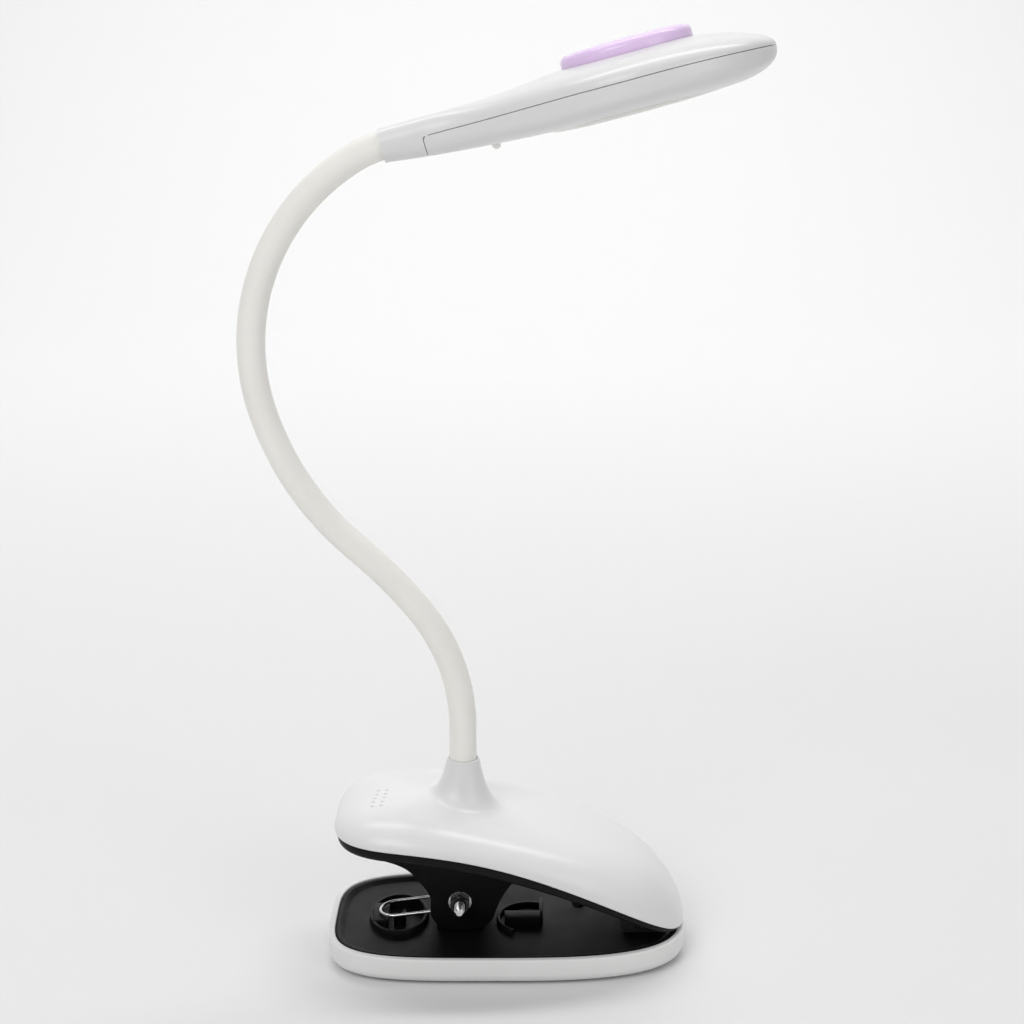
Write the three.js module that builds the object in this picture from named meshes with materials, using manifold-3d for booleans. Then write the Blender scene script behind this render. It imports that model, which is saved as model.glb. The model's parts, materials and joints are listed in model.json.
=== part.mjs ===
// Rechargeable clip-on reading lamp: a sprung two-jaw clip carries a flexible neck and a round LED head.
// Millimetres. +Z is up, +X points towards the jaw tip, and the XZ plane is the plane of symmetry.
// The origin is the centre of the face that the lower jaw rests on.
import * as THREE from 'three';
import { mergeVertices } from 'three/addons/utils/BufferGeometryUtils.js';
import Module from 'manifold-3d';

const wasm = await Module();
wasm.setup();

// ---- Driving dimensions ----
const TRAY = {
  left: -67.7, right: 67.7, widest: -6, halfWidth: 37.5, leftPower: 3.9, rightPower: 3,
  underside: 0.6, height: 10.5, wall: 2.4, floorTop: 2.6,
};
const SHELL = {
  left: -64.7, right: 67.4, widest: -6, halfWidth: 36.5, leftPower: 3.4, rightPower: 2.8, wall: 2.2,
};
const RIM = { flatTo: -45, height: 51, radius: 153, tip: 11.2 };
const DOME = { sidePower: 4.6, topPower: 1.8 };
const STEM = { x: -16.5, top: 74.7, radius: 6.1, bore: 5.4, flare: 22, flarePower: 5 };
const LINER = { gap: 0.3, underside: 4.6, flangeTop: 10.2, floor: 8.6, wallFoot: 6, screwDepth: 5.8 };
const COVER = { strip: 4.3, tipStrip: 3.2, lowest: 10.9, lip: 1.5, floor: 2, gap: 0.3 };
const PIVOT = { x: -17.7, z: 21.5, hole: 2.12 };
const EAR = { inner: 10.2, outer: 12.6 };
const CHEEK = { inner: 7.6, outer: 9.8, radius: 8.5 };
const BOLT = { radius: 2, headRadius: 3.6, nutFlats: 7, nutHeight: 3, washer: 0.5, end: -22 };
const SPRING = {
  wire: 1.15, coil: 5.6, pitch: 1.5, turns: 3.39, innerEnd: 1.2, legAngle: 146, legLength: 35,
};
const COLLAR = { x: -41.5, halfLength: 11.5, halfWidth: 16, wall: 1.6, top: 11, bottom: 6.2 };
const POCKET = {
  x: 8.5, y: -2.5, halfLength: 12.5, halfWidth: 13, wall: 1.3, top: 10.4, right: 13.7, nearEnd: 2.5,
};
const RIB = { left: -1, near: -6.3, far: -0.6, postFar: 10.2, thickness: 1.3, top: 12 };
const NECK = { radius: 5.1, bore: 3.7, core: 3.4, coreBore: 1.8, socket: 5.35, joints: 8 };
const HEAD = {
  x: -41.9, z: 301, tilt: 15, shoulder: 13.2, discCentre: 88, nose: 49.5, halfWidth: 42,
  collarRadius: 6, collarAxis: -0.6, wall: 2, splitGap: 0.3,
};
const BUTTON = { radius: 23, pocketFloor: 5.6, pocketRadius: 23.5, bottom: 6.9, top: 12.9 };
const LENS = { radius: 31, seat: 31.4, seatTop: -8.6, bottom: -12, top: -9.4 };

const AROUND_SHELL = 40;
const AROUND_TRAY = 40;
const SCREW_PLACES = { liner: [[28, 12], [PIVOT.x, 0]], cover: [[-50, 24], [-50, -24]] };

// ---- Small maths ----
const smoothStep = (low, high, value) => {
  const t = Math.min(1, Math.max(0, (value - low) / (high - low)));
  return t * t * (3 - 2 * t);
};
const softMax = (a, b) => (Math.max(a, 0) ** 8 + b ** 8) ** (1 / 8);
const signedPower = (value, power) => Math.sign(value) * Math.abs(value) ** power;
const lerp = (a, b, t) => a + (b - a) * t;
const vec = (x, y, z) => new THREE.Vector3(x, y, z);

// ---- Closed bodies ----
// A skin over rings of equally many points. The ends are closed with a fan to a given or average point,
// or, when `loop` is true, the last ring joins the first.
function skin(rings, { loop = false, startTip = null, endTip = null } = {}) {
  const count = rings[0].length;
  const points = rings.flat();
  const faces = [];
  const spans = loop ? rings.length : rings.length - 1;
  for (let i = 0; i < spans; i += 1) {
    const a = i * count;
    const b = ((i + 1) % rings.length) * count;
    for (let j = 0; j < count; j += 1) {
      const k = (j + 1) % count;
      faces.push(a + j, a + k, b + k, a + j, b + k, b + j);
    }
  }
  if (!loop) {
    const fan = (first, ring, tip, flip) => {
      const centre = tip ?? ring.reduce((sum, p) => sum.add(p), vec(0, 0, 0)).divideScalar(count);
      const c = points.push(centre) - 1;
      for (let j = 0; j < count; j += 1) {
        const k = (j + 1) % count;
        faces.push(...(flip ? [first + k, first + j, c] : [first + j, first + k, c]));
      }
    };
    fan(0, rings[0], startTip, true);
    fan((rings.length - 1) * count, rings[rings.length - 1], endTip, false);
  }
  return facingOut(points, faces);
}

// Turns the faces round if the body they enclose has a negative volume.
function facingOut(points, faces) {
  let volume = 0;
  for (let i = 0; i < faces.length; i += 3) {
    const [a, b, c] = [points[faces[i]], points[faces[i + 1]], points[faces[i + 2]]];
    volume += a.dot(vec(0, 0, 0).crossVectors(b, c));
  }
  const geometry = new THREE.BufferGeometry();
  geometry.setAttribute('position', new THREE.Float32BufferAttribute(points.flatMap((p) => p.toArray()), 3));
  geometry.setIndex(volume < 0 ? faces.toReversed() : faces);
  return geometry;
}

function solidOf(geometry) {
  const bare = geometry.clone();
  bare.deleteAttribute('normal');
  bare.deleteAttribute('uv');
  const merged = mergeVertices(bare, 1e-4);
  const index = merged.index.array;
  const triangles = [];
  for (let i = 0; i < index.length; i += 3) {
    const [a, b, c] = [index[i], index[i + 1], index[i + 2]];
    if (a !== b && b !== c && a !== c) triangles.push(a, b, c);
  }
  const mesh = new wasm.Mesh({
    numProp: 3,
    vertProperties: new Float32Array(merged.attributes.position.array),
    triVerts: new Uint32Array(triangles),
  });
  return new wasm.Manifold(mesh);
}

function geometryOf(solid) {
  const mesh = solid.getMesh();
  const geometry = new THREE.BufferGeometry();
  geometry.setAttribute('position', new THREE.BufferAttribute(mesh.vertProperties, 3));
  geometry.setIndex(new THREE.BufferAttribute(mesh.triVerts, 1));
  return geometry;
}

const cut = (body, ...tools) => tools.reduce((rest, tool) => rest.subtract(solidOf(tool)), solidOf(body));
const join = (body, ...others) => others.reduce((sum, other) => sum.add(solidOf(other)), solidOf(body));

function box(x0, x1, y0, y1, z0, z1) {
  const geometry = new THREE.BoxGeometry(x1 - x0, y1 - y0, z1 - z0);
  return geometry.translate((x0 + x1) / 2, (y0 + y1) / 2, (z0 + z1) / 2);
}

// A body turned about +Z from [radius, z] pairs.
function turned(profile, sides = 24) {
  const points = profile.map(([radius, z]) => new THREE.Vector2(radius, z));
  return new THREE.LatheGeometry(points, sides).rotateX(Math.PI / 2);
}

const rod = (radius, z0, z1, sides = 24) => turned([[0, z0], [radius, z0], [radius, z1], [0, z1]], sides);
const tube = (outer, inner, z0, z1, sides = 24) => (
  turned([[inner, z0], [outer, z0], [outer, z1], [inner, z1], [inner, z0]], sides)
);

// A rod or tube along Y through a point of the XZ plane.
const alongY = (geometry, x, z) => geometry.rotateX(-Math.PI / 2).translate(x, 0, z);

// A flat side outline (X, Z) given thickness along Y.
function plateY(shape, y0, y1, segments = 8) {
  const geometry = new THREE.ExtrudeGeometry(shape, {
    depth: y1 - y0, bevelEnabled: false, curveSegments: segments,
  });
  return geometry.rotateX(Math.PI / 2).translate(0, y1, 0);
}

// ---- Outlines seen from above ----
function planPoint(plan, angle, inset) {
  const c = Math.cos(angle);
  const s = Math.sin(angle);
  const length = (c < 0 ? plan.widest - plan.left : plan.right - plan.widest) - inset;
  const power = c < 0 ? plan.leftPower : plan.rightPower;
  const width = plan.halfWidth - inset;
  const radius = (Math.abs(c / length) ** power + Math.abs(s / width) ** power) ** (-1 / power);
  return new THREE.Vector2(plan.widest + radius * c, radius * s);
}

// One ring of an outline, pulled in by `inset` and shrunk by `scale` towards its middle.
// `height` is a number or a function of x and y.
function planRing(plan, inset, height, { scale = 1, count = AROUND_SHELL } = {}) {
  return Array.from({ length: count }, (_, i) => {
    const p = planPoint(plan, (i / count) * 2 * Math.PI, inset);
    const x = lerp(plan.widest, p.x, scale);
    const y = p.y * scale;
    return vec(x, y, typeof height === 'number' ? height : height(x, y));
  });
}

// How far out a point lies in an outline: 0 in the middle, 1 on the edge.
function planShare(plan, x, y, inset) {
  const length = (x < plan.widest ? plan.widest - plan.left : plan.right - plan.widest) - inset;
  const power = x < plan.widest ? plan.leftPower : plan.rightPower;
  const sum = Math.abs((x - plan.widest) / length) ** power + Math.abs(y / (plan.halfWidth - inset)) ** power;
  return Math.min(1, sum ** (1 / power));
}

// ---- Upper jaw surfaces ----
const rimHeight = (x) => softMax(RIM.height - Math.max(0, x - RIM.flatTo) ** 2 / (2 * RIM.radius), RIM.tip);
const ridgeHeight = (x) => {
  const u = x / 65;
  return 54.5 - 16 * u - 5.3 * u * u + 2.4 * u * u * u;
};
const coverHeight = (x) => {
  const strip = lerp(COVER.strip, COVER.tipStrip, smoothStep(0, 50, x));
  return softMax(rimHeight(x) - strip, COVER.lowest);
};

function domeHeight(x, y, inset) {
  const share = planShare(SHELL, x, y, inset);
  const rise = (1 - share ** DOME.sidePower) ** (1 / DOME.topPower);
  return rimHeight(x) + (ridgeHeight(x) - inset - rimHeight(x)) * rise;
}

// Rings of the outer skin from the rim up over the dome and up the flared stem to its top.
function shellRings() {
  const rings = [SHELL.wall + 2, 0].map((inset) => planRing(SHELL, inset, (x) => rimHeight(x)));
  const outline = rings[1];
  const circle = (radius) => outline.map((_, i) => {
    const angle = (i / outline.length) * 2 * Math.PI;
    return new THREE.Vector2(STEM.x + radius * Math.cos(angle), radius * Math.sin(angle));
  });
  const foot = circle(STEM.flare);
  [0.025, 0.08, 0.16, 0.27, 0.42, 0.6, 0.8].forEach((share) => {
    rings.push(outline.map((edge, i) => {
      const x = lerp(edge.x, foot[i].x, share);
      const y = lerp(edge.y, foot[i].y, share);
      return vec(x, y, domeHeight(x, y, 0));
    }));
  });
  [0, 0.01, 0.05, 0.15, 0.35, 0.65, 1].forEach((share) => {
    const radius = lerp(STEM.flare, STEM.radius, share ** (1 / STEM.flarePower));
    rings.push(circle(radius).map((p) => vec(p.x, p.y, lerp(domeHeight(p.x, p.y, 0), STEM.top, share))));
  });
  return rings;
}

function shellCavity() {
  const rings = [planRing(SHELL, SHELL.wall, -5), planRing(SHELL, SHELL.wall, (x) => rimHeight(x))];
  [0.97, 0.9, 0.78, 0.6, 0.35].forEach((scale) => {
    rings.push(planRing(SHELL, SHELL.wall, (x, y) => domeHeight(x, y, SHELL.wall), { scale }));
  });
  return skin(rings, { endTip: vec(SHELL.widest, 0, domeHeight(SHELL.widest, 0, SHELL.wall)) });
}

function upperShell() {
  const bore = rod(STEM.bore, 40, STEM.top + 1).translate(STEM.x, 0, 0);
  return geometryOf(cut(skin(shellRings()), shellCavity(), bore, box(5.6, 14.4, 26, 40, 43.1, 46.7)));
}

// The ear is a tongue with a shallow round end, flaring into the cover.
function earShape() {
  const shape = new THREE.Shape();
  shape.moveTo(-55, 47.2);
  shape.quadraticCurveTo(-50.5, 38.8, -44.2, 37.3);
  shape.quadraticCurveTo(-36.6, 35, -34.2, 30.6);
  shape.quadraticCurveTo(-29.2, 25.6, -28.7, 22);
  shape.lineTo(-29, 16.5);
  shape.quadraticCurveTo(-27, 9.6, PIVOT.x, 9.5);
  shape.quadraticCurveTo(-7.4, 9.5, -4.8, 15.5);
  shape.quadraticCurveTo(-1, 30, 12, 36.4);
  shape.lineTo(-14, 45);
  return shape;
}

function upperCover() {
  const inner = SHELL.wall + COVER.gap;
  const top = (x) => rimHeight(x) - COVER.gap;
  const faceFoot = (x) => coverHeight(x) + 0.35 * (top(x) - coverHeight(x));
  const floor = (x) => coverHeight(x) + COVER.floor;
  const rings = [
    ...[0.35, 0.7].map((scale) => planRing(SHELL, inner + 2, floor, { scale })),
    planRing(SHELL, inner + 2, floor),
    planRing(SHELL, inner + 2, (x) => rimHeight(x) + COVER.lip),
    planRing(SHELL, inner + 0.9, (x) => rimHeight(x) + COVER.lip),
    planRing(SHELL, inner, top),
    planRing(SHELL, 1.1, top),
    planRing(SHELL, 0.9, faceFoot),
    planRing(SHELL, 2, (x) => coverHeight(x)),
    ...[0.94, 0.7, 0.35].map((scale) => planRing(SHELL, 2, (x) => coverHeight(x), { scale })),
  ];
  const middle = SHELL.widest;
  const plate = skin(rings, {
    startTip: vec(middle, 0, floor(middle)), endTip: vec(middle, 0, coverHeight(middle)),
  });
  const ears = [plateY(earShape(), -EAR.outer, -EAR.inner), plateY(earShape(), EAR.inner, EAR.outer)];
  const hole = alongY(rod(PIVOT.hole, -20, 20, 20), PIVOT.x, PIVOT.z);
  const screwHoles = SCREW_PLACES.cover.map(([x, y]) => rod(1.7, 40, 60, 12).translate(x, y, 0));
  const body = join(plate, ...ears);
  return geometryOf([hole, ...screwHoles].reduce((rest, tool) => rest.subtract(solidOf(tool)), body));
}

// A thin rubber patch that follows the underside of the cover near the jaw tip.
function upperJawPad() {
  const stations = [44, 48, 52, 56, 59];
  const rings = stations.map((x) => [
    vec(x, -12, coverHeight(x) - 0.3), vec(x, 12, coverHeight(x) - 0.3),
    vec(x, 12, coverHeight(x) - 1.9), vec(x, -12, coverHeight(x) - 1.9),
  ]);
  return skin(rings);
}

// ---- Lower jaw ----
function lowerTray() {
  const ring = (inset, z) => planRing(TRAY, inset, z, { count: AROUND_TRAY });
  return skin([
    ring(4, TRAY.underside), ring(1.5, 1.2), ring(0.3, 2.8), ring(0, 4.6), ring(0, TRAY.height - 0.7),
    ring(0.5, TRAY.height), ring(TRAY.wall - 0.3, TRAY.height), ring(TRAY.wall, TRAY.height - 0.3),
    ring(TRAY.wall, TRAY.floorTop),
  ]);
}

const around = (centreX, centreY, halfLength, halfWidth, z) => Array.from({ length: 28 }, (_, i) => {
  const angle = (i / 28) * 2 * Math.PI;
  return vec(centreX + halfLength * Math.cos(angle), centreY + halfWidth * Math.sin(angle), z);
});

// The raised oval rim on the liner's floor where the spring rests, and the well inside it.
const collarRing = (grow, z) => around(COLLAR.x, 0, COLLAR.halfLength + grow, COLLAR.halfWidth + grow, z);
const collarRim = () => skin([collarRing(0, LINER.underside + 1), collarRing(-0.4, COLLAR.top)]);
const collarWell = () => skin([
  collarRing(-COLLAR.wall - 0.8, COLLAR.bottom), collarRing(-COLLAR.wall, COLLAR.top + 1),
]);

// The low rim round the pocket at the jaw's throat, open to the near right.
function pocketRim() {
  const ring = (grow, z) => around(POCKET.x, POCKET.y, POCKET.halfLength + grow, POCKET.halfWidth + grow, z);
  const low = LINER.floor - 1;
  const reach = POCKET.halfLength + POCKET.halfWidth;
  return cut(
    skin([ring(0, low), ring(0, POCKET.top)]),
    skin([ring(-POCKET.wall, low - 1), ring(-POCKET.wall, POCKET.top + 1)]),
    box(POCKET.right, POCKET.right + reach, -reach, reach, low - 2, POCKET.top + 2),
    box(POCKET.nearEnd, POCKET.right + reach, -reach, RIB.near, low - 2, POCKET.top + 2),
  );
}

// Two ribs that meet at a corner inside the pocket.
const pocketRibs = () => join(
  box(RIB.left, POCKET.right, RIB.near, RIB.far, LINER.floor - 1, RIB.top),
  box(POCKET.right - RIB.thickness, POCKET.right, RIB.near, RIB.postFar, LINER.floor - 1, RIB.top),
);

// A plate on the liner that stands beside the ear and carries the hinge bolt.
function cheekShape() {
  const foot = CHEEK.radius + 0.5;
  const shape = new THREE.Shape();
  shape.moveTo(PIVOT.x - foot, LINER.floor - 1);
  shape.lineTo(PIVOT.x - CHEEK.radius, PIVOT.z);
  shape.absarc(PIVOT.x, PIVOT.z, CHEEK.radius, Math.PI, 0, true);
  shape.lineTo(PIVOT.x + foot, LINER.floor - 1);
  return shape;
}

function lowerLiner() {
  const edge = TRAY.wall + LINER.gap;
  const ring = (inset, z) => planRing(TRAY, inset, z, { count: AROUND_TRAY });
  const bowl = skin([
    ring(edge, LINER.underside), ring(edge, LINER.flangeTop - 0.3), ring(edge + 0.3, LINER.flangeTop),
    ring(edge + 1, LINER.flangeTop), ring(LINER.wallFoot, LINER.floor),
  ]);
  const saddle = box(COLLAR.x - 10, COLLAR.x - 4, -7.5, 7.5, COLLAR.bottom - 1, 11.2);
  const cheeks = [
    plateY(cheekShape(), -CHEEK.outer, -CHEEK.inner), plateY(cheekShape(), CHEEK.inner, CHEEK.outer),
  ];
  const hole = alongY(rod(PIVOT.hole, -20, 20, 20), PIVOT.x, PIVOT.z);
  const screwHoles = SCREW_PLACES.liner.map(([x, y]) => rod(1.7, 0, 20, 12).translate(x, y, 0));
  const body = join(bowl, collarRim())
    .subtract(solidOf(collarWell()))
    .add(join(saddle, ...cheeks)).add(pocketRim()).add(pocketRibs());
  return geometryOf([hole, ...screwHoles].reduce((rest, tool) => rest.subtract(solidOf(tool)), body));
}

const basePad = () => skin([
  planRing(TRAY, 6, 0, { count: 40 }), planRing(TRAY, 6, TRAY.underside, { count: 40 }),
]);

function ballastPlate() {
  const plate = skin([TRAY.floorTop, 4.4].map((z) => planRing(TRAY, 9, z, { count: 32 })));
  return geometryOf(cut(plate, ...SCREW_PLACES.liner.map(([x, y]) => rod(1.9, 0, 9, 12).translate(x, y, 0))));
}

const screw = (x, y, seat, depth, up = 1) => {
  const profile = [[0, -depth], [1.35, -depth], [1.35, 0], [2.7, 0], [2.5, 0.9], [1.4, 1.4], [0, 1.4]];
  const body = turned(profile, 8);
  if (up < 0) body.rotateX(Math.PI);
  return body.translate(x, y, seat);
};

// ---- Hinge ----
function hingeBolt() {
  const headFace = EAR.outer + BOLT.washer;
  const profile = [
    [0, BOLT.end], [BOLT.radius - 0.4, BOLT.end], [BOLT.radius, BOLT.end + 0.5], [BOLT.radius, headFace],
    [BOLT.headRadius, headFace], [BOLT.headRadius, headFace + 1.6], [BOLT.headRadius - 0.8, headFace + 2.6],
    [0, headFace + 2.6],
  ];
  return turnedAlongY(profile, 16);
}

// A body turned about the hinge line from [radius, y] pairs.
function turnedAlongY(profile, sides) {
  return turned(profile, sides).rotateX(-Math.PI / 2).translate(PIVOT.x, 0, PIVOT.z);
}

function hingeNut() {
  const corner = BOLT.nutFlats / Math.sqrt(3);
  const y1 = -(EAR.outer + BOLT.washer);
  const y0 = y1 - BOLT.nutHeight;
  const chamfer = 0.45;
  const hex = turned([
    [0, y0], [corner - chamfer, y0], [corner, y0 + chamfer],
    [corner, y1 - chamfer], [corner - chamfer, y1], [0, y1],
  ], 6);
  const body = cut(hex, rod(BOLT.radius + 0.05, y0 - 1, y1 + 1, 20));
  return geometryOf(body).rotateX(-Math.PI / 2).translate(PIVOT.x, 0, PIVOT.z);
}

const washer = (y0) => turnedAlongY(
  [[BOLT.radius + 0.1, y0], [4.4, y0], [4.4, y0 + BOLT.washer], [BOLT.radius + 0.1, y0 + BOLT.washer],
    [BOLT.radius + 0.1, y0]],
  16,
);

const springSleeve = () => turnedAlongY(
  [[BOLT.radius + 0.1, -7.2], [4.2, -7.2], [4.2, 7.2], [BOLT.radius + 0.1, 7.2], [BOLT.radius + 0.1, -7.2]],
  16,
);

// The wire's middle line: upper leg, coil, closed loop on the lower jaw, coil, upper leg.
function springLine() {
  const points = [];
  const steps = 42;
  const legAngle = THREE.MathUtils.degToRad(SPRING.legAngle);
  for (let i = 0; i <= steps; i += 1) {
    const turn = (i / steps) * SPRING.turns;
    const angle = legAngle - Math.PI / 2 - turn * 2 * Math.PI;
    const y = SPRING.innerEnd + turn * SPRING.pitch;
    points.push(vec(PIVOT.x + SPRING.coil * Math.cos(angle), y, PIVOT.z + SPRING.coil * Math.sin(angle)));
  }
  const far = points[points.length - 1];
  const tipX = COLLAR.x - 7.2;
  const loopX = tipX + far.y;
  const loop = [];
  for (let i = 0; i <= 8; i += 1) {
    const angle = Math.PI / 2 + (i / 8) * Math.PI;
    const x = loopX + far.y * Math.cos(angle);
    loop.push(vec(x, far.y * Math.sin(angle), 12 + (x - tipX) * 0.1));
  }
  const mirrored = points.map((p) => vec(p.x, -p.y, p.z)).reverse();
  const reach = [SPRING.legLength * Math.cos(legAngle), SPRING.legLength * Math.sin(legAngle)];
  const leg = vec(points[0].x + reach[0], points[0].y, points[0].z + reach[1]);
  return [leg, ...points, ...loop, ...mirrored, vec(leg.x, -leg.y, leg.z)];
}

// A wire of round section along a line of points, its section carried along without twist.
function wire(points, radius, sides) {
  let across = null;
  const rings = points.map((p, i) => {
    const before = points[Math.max(0, i - 1)];
    const after = points[Math.min(points.length - 1, i + 1)];
    const ahead = after.clone().sub(before).normalize();
    across ??= Math.abs(ahead.y) < 0.9 ? vec(0, 1, 0) : vec(1, 0, 0);
    across = across.clone().addScaledVector(ahead, -across.dot(ahead)).normalize();
    const other = vec(0, 0, 0).crossVectors(ahead, across);
    return Array.from({ length: sides }, (_, j) => {
      const angle = (j / sides) * 2 * Math.PI;
      return p.clone().addScaledVector(across, radius * Math.cos(angle))
        .addScaledVector(other, radius * Math.sin(angle));
    });
  });
  return skin(rings);
}

// ---- Neck ----
function neckNut() {
  const hex = rod(7.6, 50.4, 53.4, 6);
  return geometryOf(cut(hex, rod(5.1, 50, 54, 16))).translate(STEM.x, 0, 0);
}

// The neck's middle line as stretches of [length, turn in degrees], starting straight up at the stem's top.
const NECK_STRETCHES = [[12.8, 0], [48.3, 38], [27, 9.5], [9.2, 0], [58.4, -31], [103.6, -76.5], [10.9, -15]];
const NECK_LENGTH = NECK_STRETCHES.reduce((sum, [length]) => sum + length, 0);

// Position and heading at a distance along the neck; below 0 and past the end it goes on straight.
function neckAt(distance) {
  let x = STEM.x;
  let z = STEM.top;
  let heading = Math.PI / 2;
  let left = distance;
  if (left < 0) return { x, z: z + left, heading };
  for (const [length, degrees] of NECK_STRETCHES) {
    const turn = (degrees * Math.PI) / 180;
    const run = Math.min(left, length);
    const bend = (turn * run) / length;
    if (Math.abs(turn) < 1e-9) {
      x += run * Math.cos(heading);
      z += run * Math.sin(heading);
    } else {
      const radius = length / turn;
      x += radius * (Math.sin(heading + bend) - Math.sin(heading));
      z -= radius * (Math.cos(heading + bend) - Math.cos(heading));
    }
    heading += bend;
    left -= run;
    if (left <= 0) return { x, z, heading };
  }
  return { x: x + left * Math.cos(heading), z: z + left * Math.sin(heading), heading };
}

const FIRST_JOINT = 8;
const JOINT_STEP = (NECK_LENGTH - 2 * FIRST_JOINT) / (NECK.joints - 1);
const jointDistance = (index) => FIRST_JOINT + index * JOINT_STEP;

// A ring square to the neck at `distance`, moved `ahead` along the straight heading there.
function neckRing(distance, ahead, radius, sides) {
  const { x, z, heading } = neckAt(distance);
  const [cx, cz] = [x + ahead * Math.cos(heading), z + ahead * Math.sin(heading)];
  return Array.from({ length: sides }, (_, i) => {
    const angle = (i / sides) * 2 * Math.PI;
    const out = radius * Math.cos(angle);
    return vec(cx - out * Math.sin(heading), radius * Math.sin(angle), cz + out * Math.cos(heading));
  });
}

// A hollow stretch of the neck. Its lower end is a socket and its upper end a ball, both centred on the
// joints, so that neighbours turn without touching. A missing joint leaves that end cut square.
function neckTube(from, to, outer, inner, { socket, ball }, steps, sides) {
  const rings = [];
  const push = (distance, ahead, radius) => rings.push(neckRing(distance, ahead, radius, sides));
  const reach = (sphere, radius) => Math.sqrt(sphere ** 2 - radius ** 2);
  const middleRadius = (outer + inner) / 2;
  const low = socket ? reach(NECK.socket, outer) : 0;
  const lowInner = socket ? reach(NECK.socket, inner) : 0;
  push(from, low, outer);
  for (let i = 1; i < steps; i += 1) push(lerp(from, to, i / steps), 0, outer);
  push(to, 0, outer);
  if (ball) push(to, reach(outer, middleRadius), middleRadius);
  push(to, ball ? reach(outer, inner) : 0, inner);
  for (let i = steps - 1; i > 0; i -= 1) push(lerp(from, to, i / steps), 0, inner);
  push(from, lowInner, inner);
  if (socket) push(from, reach(NECK.socket, middleRadius), middleRadius);
  return skin(rings, { loop: true });
}

const sleeve = (from, to, ends) => neckTube(from, to, NECK.radius, NECK.bore, ends, 4, 12);

// The steel core of a stretch. It stops inside the ball above it and clear of the ball below it.
function core(from, to, below = 5.8, above = 2.8) {
  const sides = 8;
  const steps = 3;
  const rings = [];
  const start = from + below;
  for (let i = 0; i <= steps; i += 1) {
    rings.push(neckRing(lerp(start, to, i / steps), 0, NECK.core, sides));
  }
  rings.push(neckRing(to, above, NECK.core, sides), neckRing(to, above, NECK.coreBore, sides));
  for (let i = steps; i >= 0; i -= 1) {
    rings.push(neckRing(lerp(start, to, i / steps), 0, NECK.coreBore, sides));
  }
  return skin(rings, { loop: true });
}

// ---- Head, in its own frame: +X along the head from the collar, +Z out of its top ----
const headShare = (x) => Math.min(1, Math.max(0, (x - HEAD.discCentre) / HEAD.nose));
const headHalfWidth = (x) => (x < HEAD.discCentre
  ? HEAD.collarRadius + (HEAD.halfWidth - HEAD.collarRadius) * smoothStep(14, HEAD.discCentre, x)
  : HEAD.halfWidth * Math.sqrt(1 - headShare(x) ** 2));
const headSplit = (x) => (x < HEAD.discCentre
  ? lerp(-1, -0.4, smoothStep(30, 70, x)) : -0.4 - 2.1 * headShare(x) ** 2);
const headTop = (x) => {
  if (x < HEAD.discCentre) return lerp(5.4, 9, smoothStep(28, 84, x));
  return headSplit(x) + 9.4 * Math.sqrt(1 - headShare(x) ** 2);
};
const headBottom = (x) => {
  if (x < HEAD.discCentre) return -11.4 + 4.8 * (1 - Math.min(1, Math.max(0, x / HEAD.discCentre))) ** 2.4;
  return headSplit(x) - 11 * Math.sqrt(1 - headShare(x) ** 4.5);
};

// A cross-section of the head at x, pulled in by `inset`.
function headRing(x, inset, count) {
  const disc = smoothStep(16, 60, x);
  const topPower = lerp(2, 2.2, disc);
  const lowPower = lerp(2, 4, disc);
  const split = lerp(HEAD.collarAxis, headSplit(x), smoothStep(12, 30, x));
  const width = Math.max(0.2, headHalfWidth(x) - inset);
  const up = Math.max(0.2, headTop(x) - split - inset);
  const down = Math.max(0.2, split - headBottom(x) - inset);
  return Array.from({ length: count }, (_, i) => {
    const angle = (i / count) * 2 * Math.PI;
    const [c, s] = [Math.cos(angle), Math.sin(angle)];
    const power = s >= 0 ? topPower : lowPower;
    const rise = (s >= 0 ? up : down) * signedPower(s, 2 / power);
    return vec(x, width * signedPower(c, 2 / power), split + rise);
  });
}

function headBody(inset, from, to, count) {
  const stations = [from];
  [15, 22, 30, 39, 49, 60, 74].filter((x) => x > from + 1).forEach((x) => stations.push(x));
  const nose = to - HEAD.discCentre;
  for (let i = 0; i < 8; i += 1) stations.push(HEAD.discCentre + nose * Math.sin((i / 8) * 1.5));
  return skin(stations.map((x) => headRing(x, inset, count)), {
    endTip: vec(to, 0, headSplit(to)),
  });
}

// The outline of everything above the parting surface, seen from the side.
function aboveSplit(drop) {
  const shape = new THREE.Shape();
  const corner = 1.5;
  const edge = HEAD.shoulder + drop;
  const level = headSplit(edge) - drop;
  shape.moveTo(-10, 40);
  shape.lineTo(-10, -40);
  shape.lineTo(edge, -40);
  shape.lineTo(edge, level - corner);
  shape.quadraticCurveTo(edge, level, edge + corner, level);
  [30, 45, 60, 75, 88, 100, 112, 124, 133, 145].forEach((x) => shape.lineTo(x, headSplit(x) - drop));
  shape.lineTo(145, 40);
  return plateY(shape, -60, 60, 4);
}

function headHollow() {
  return headBody(HEAD.wall, 20, HEAD.discCentre + HEAD.nose - HEAD.wall, 22);
}

const headSkin = () => headBody(0, -1.5, HEAD.discCentre + HEAD.nose, 30);
const atDisc = (geometry) => geometry.translate(HEAD.discCentre, 0, 0);

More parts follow.
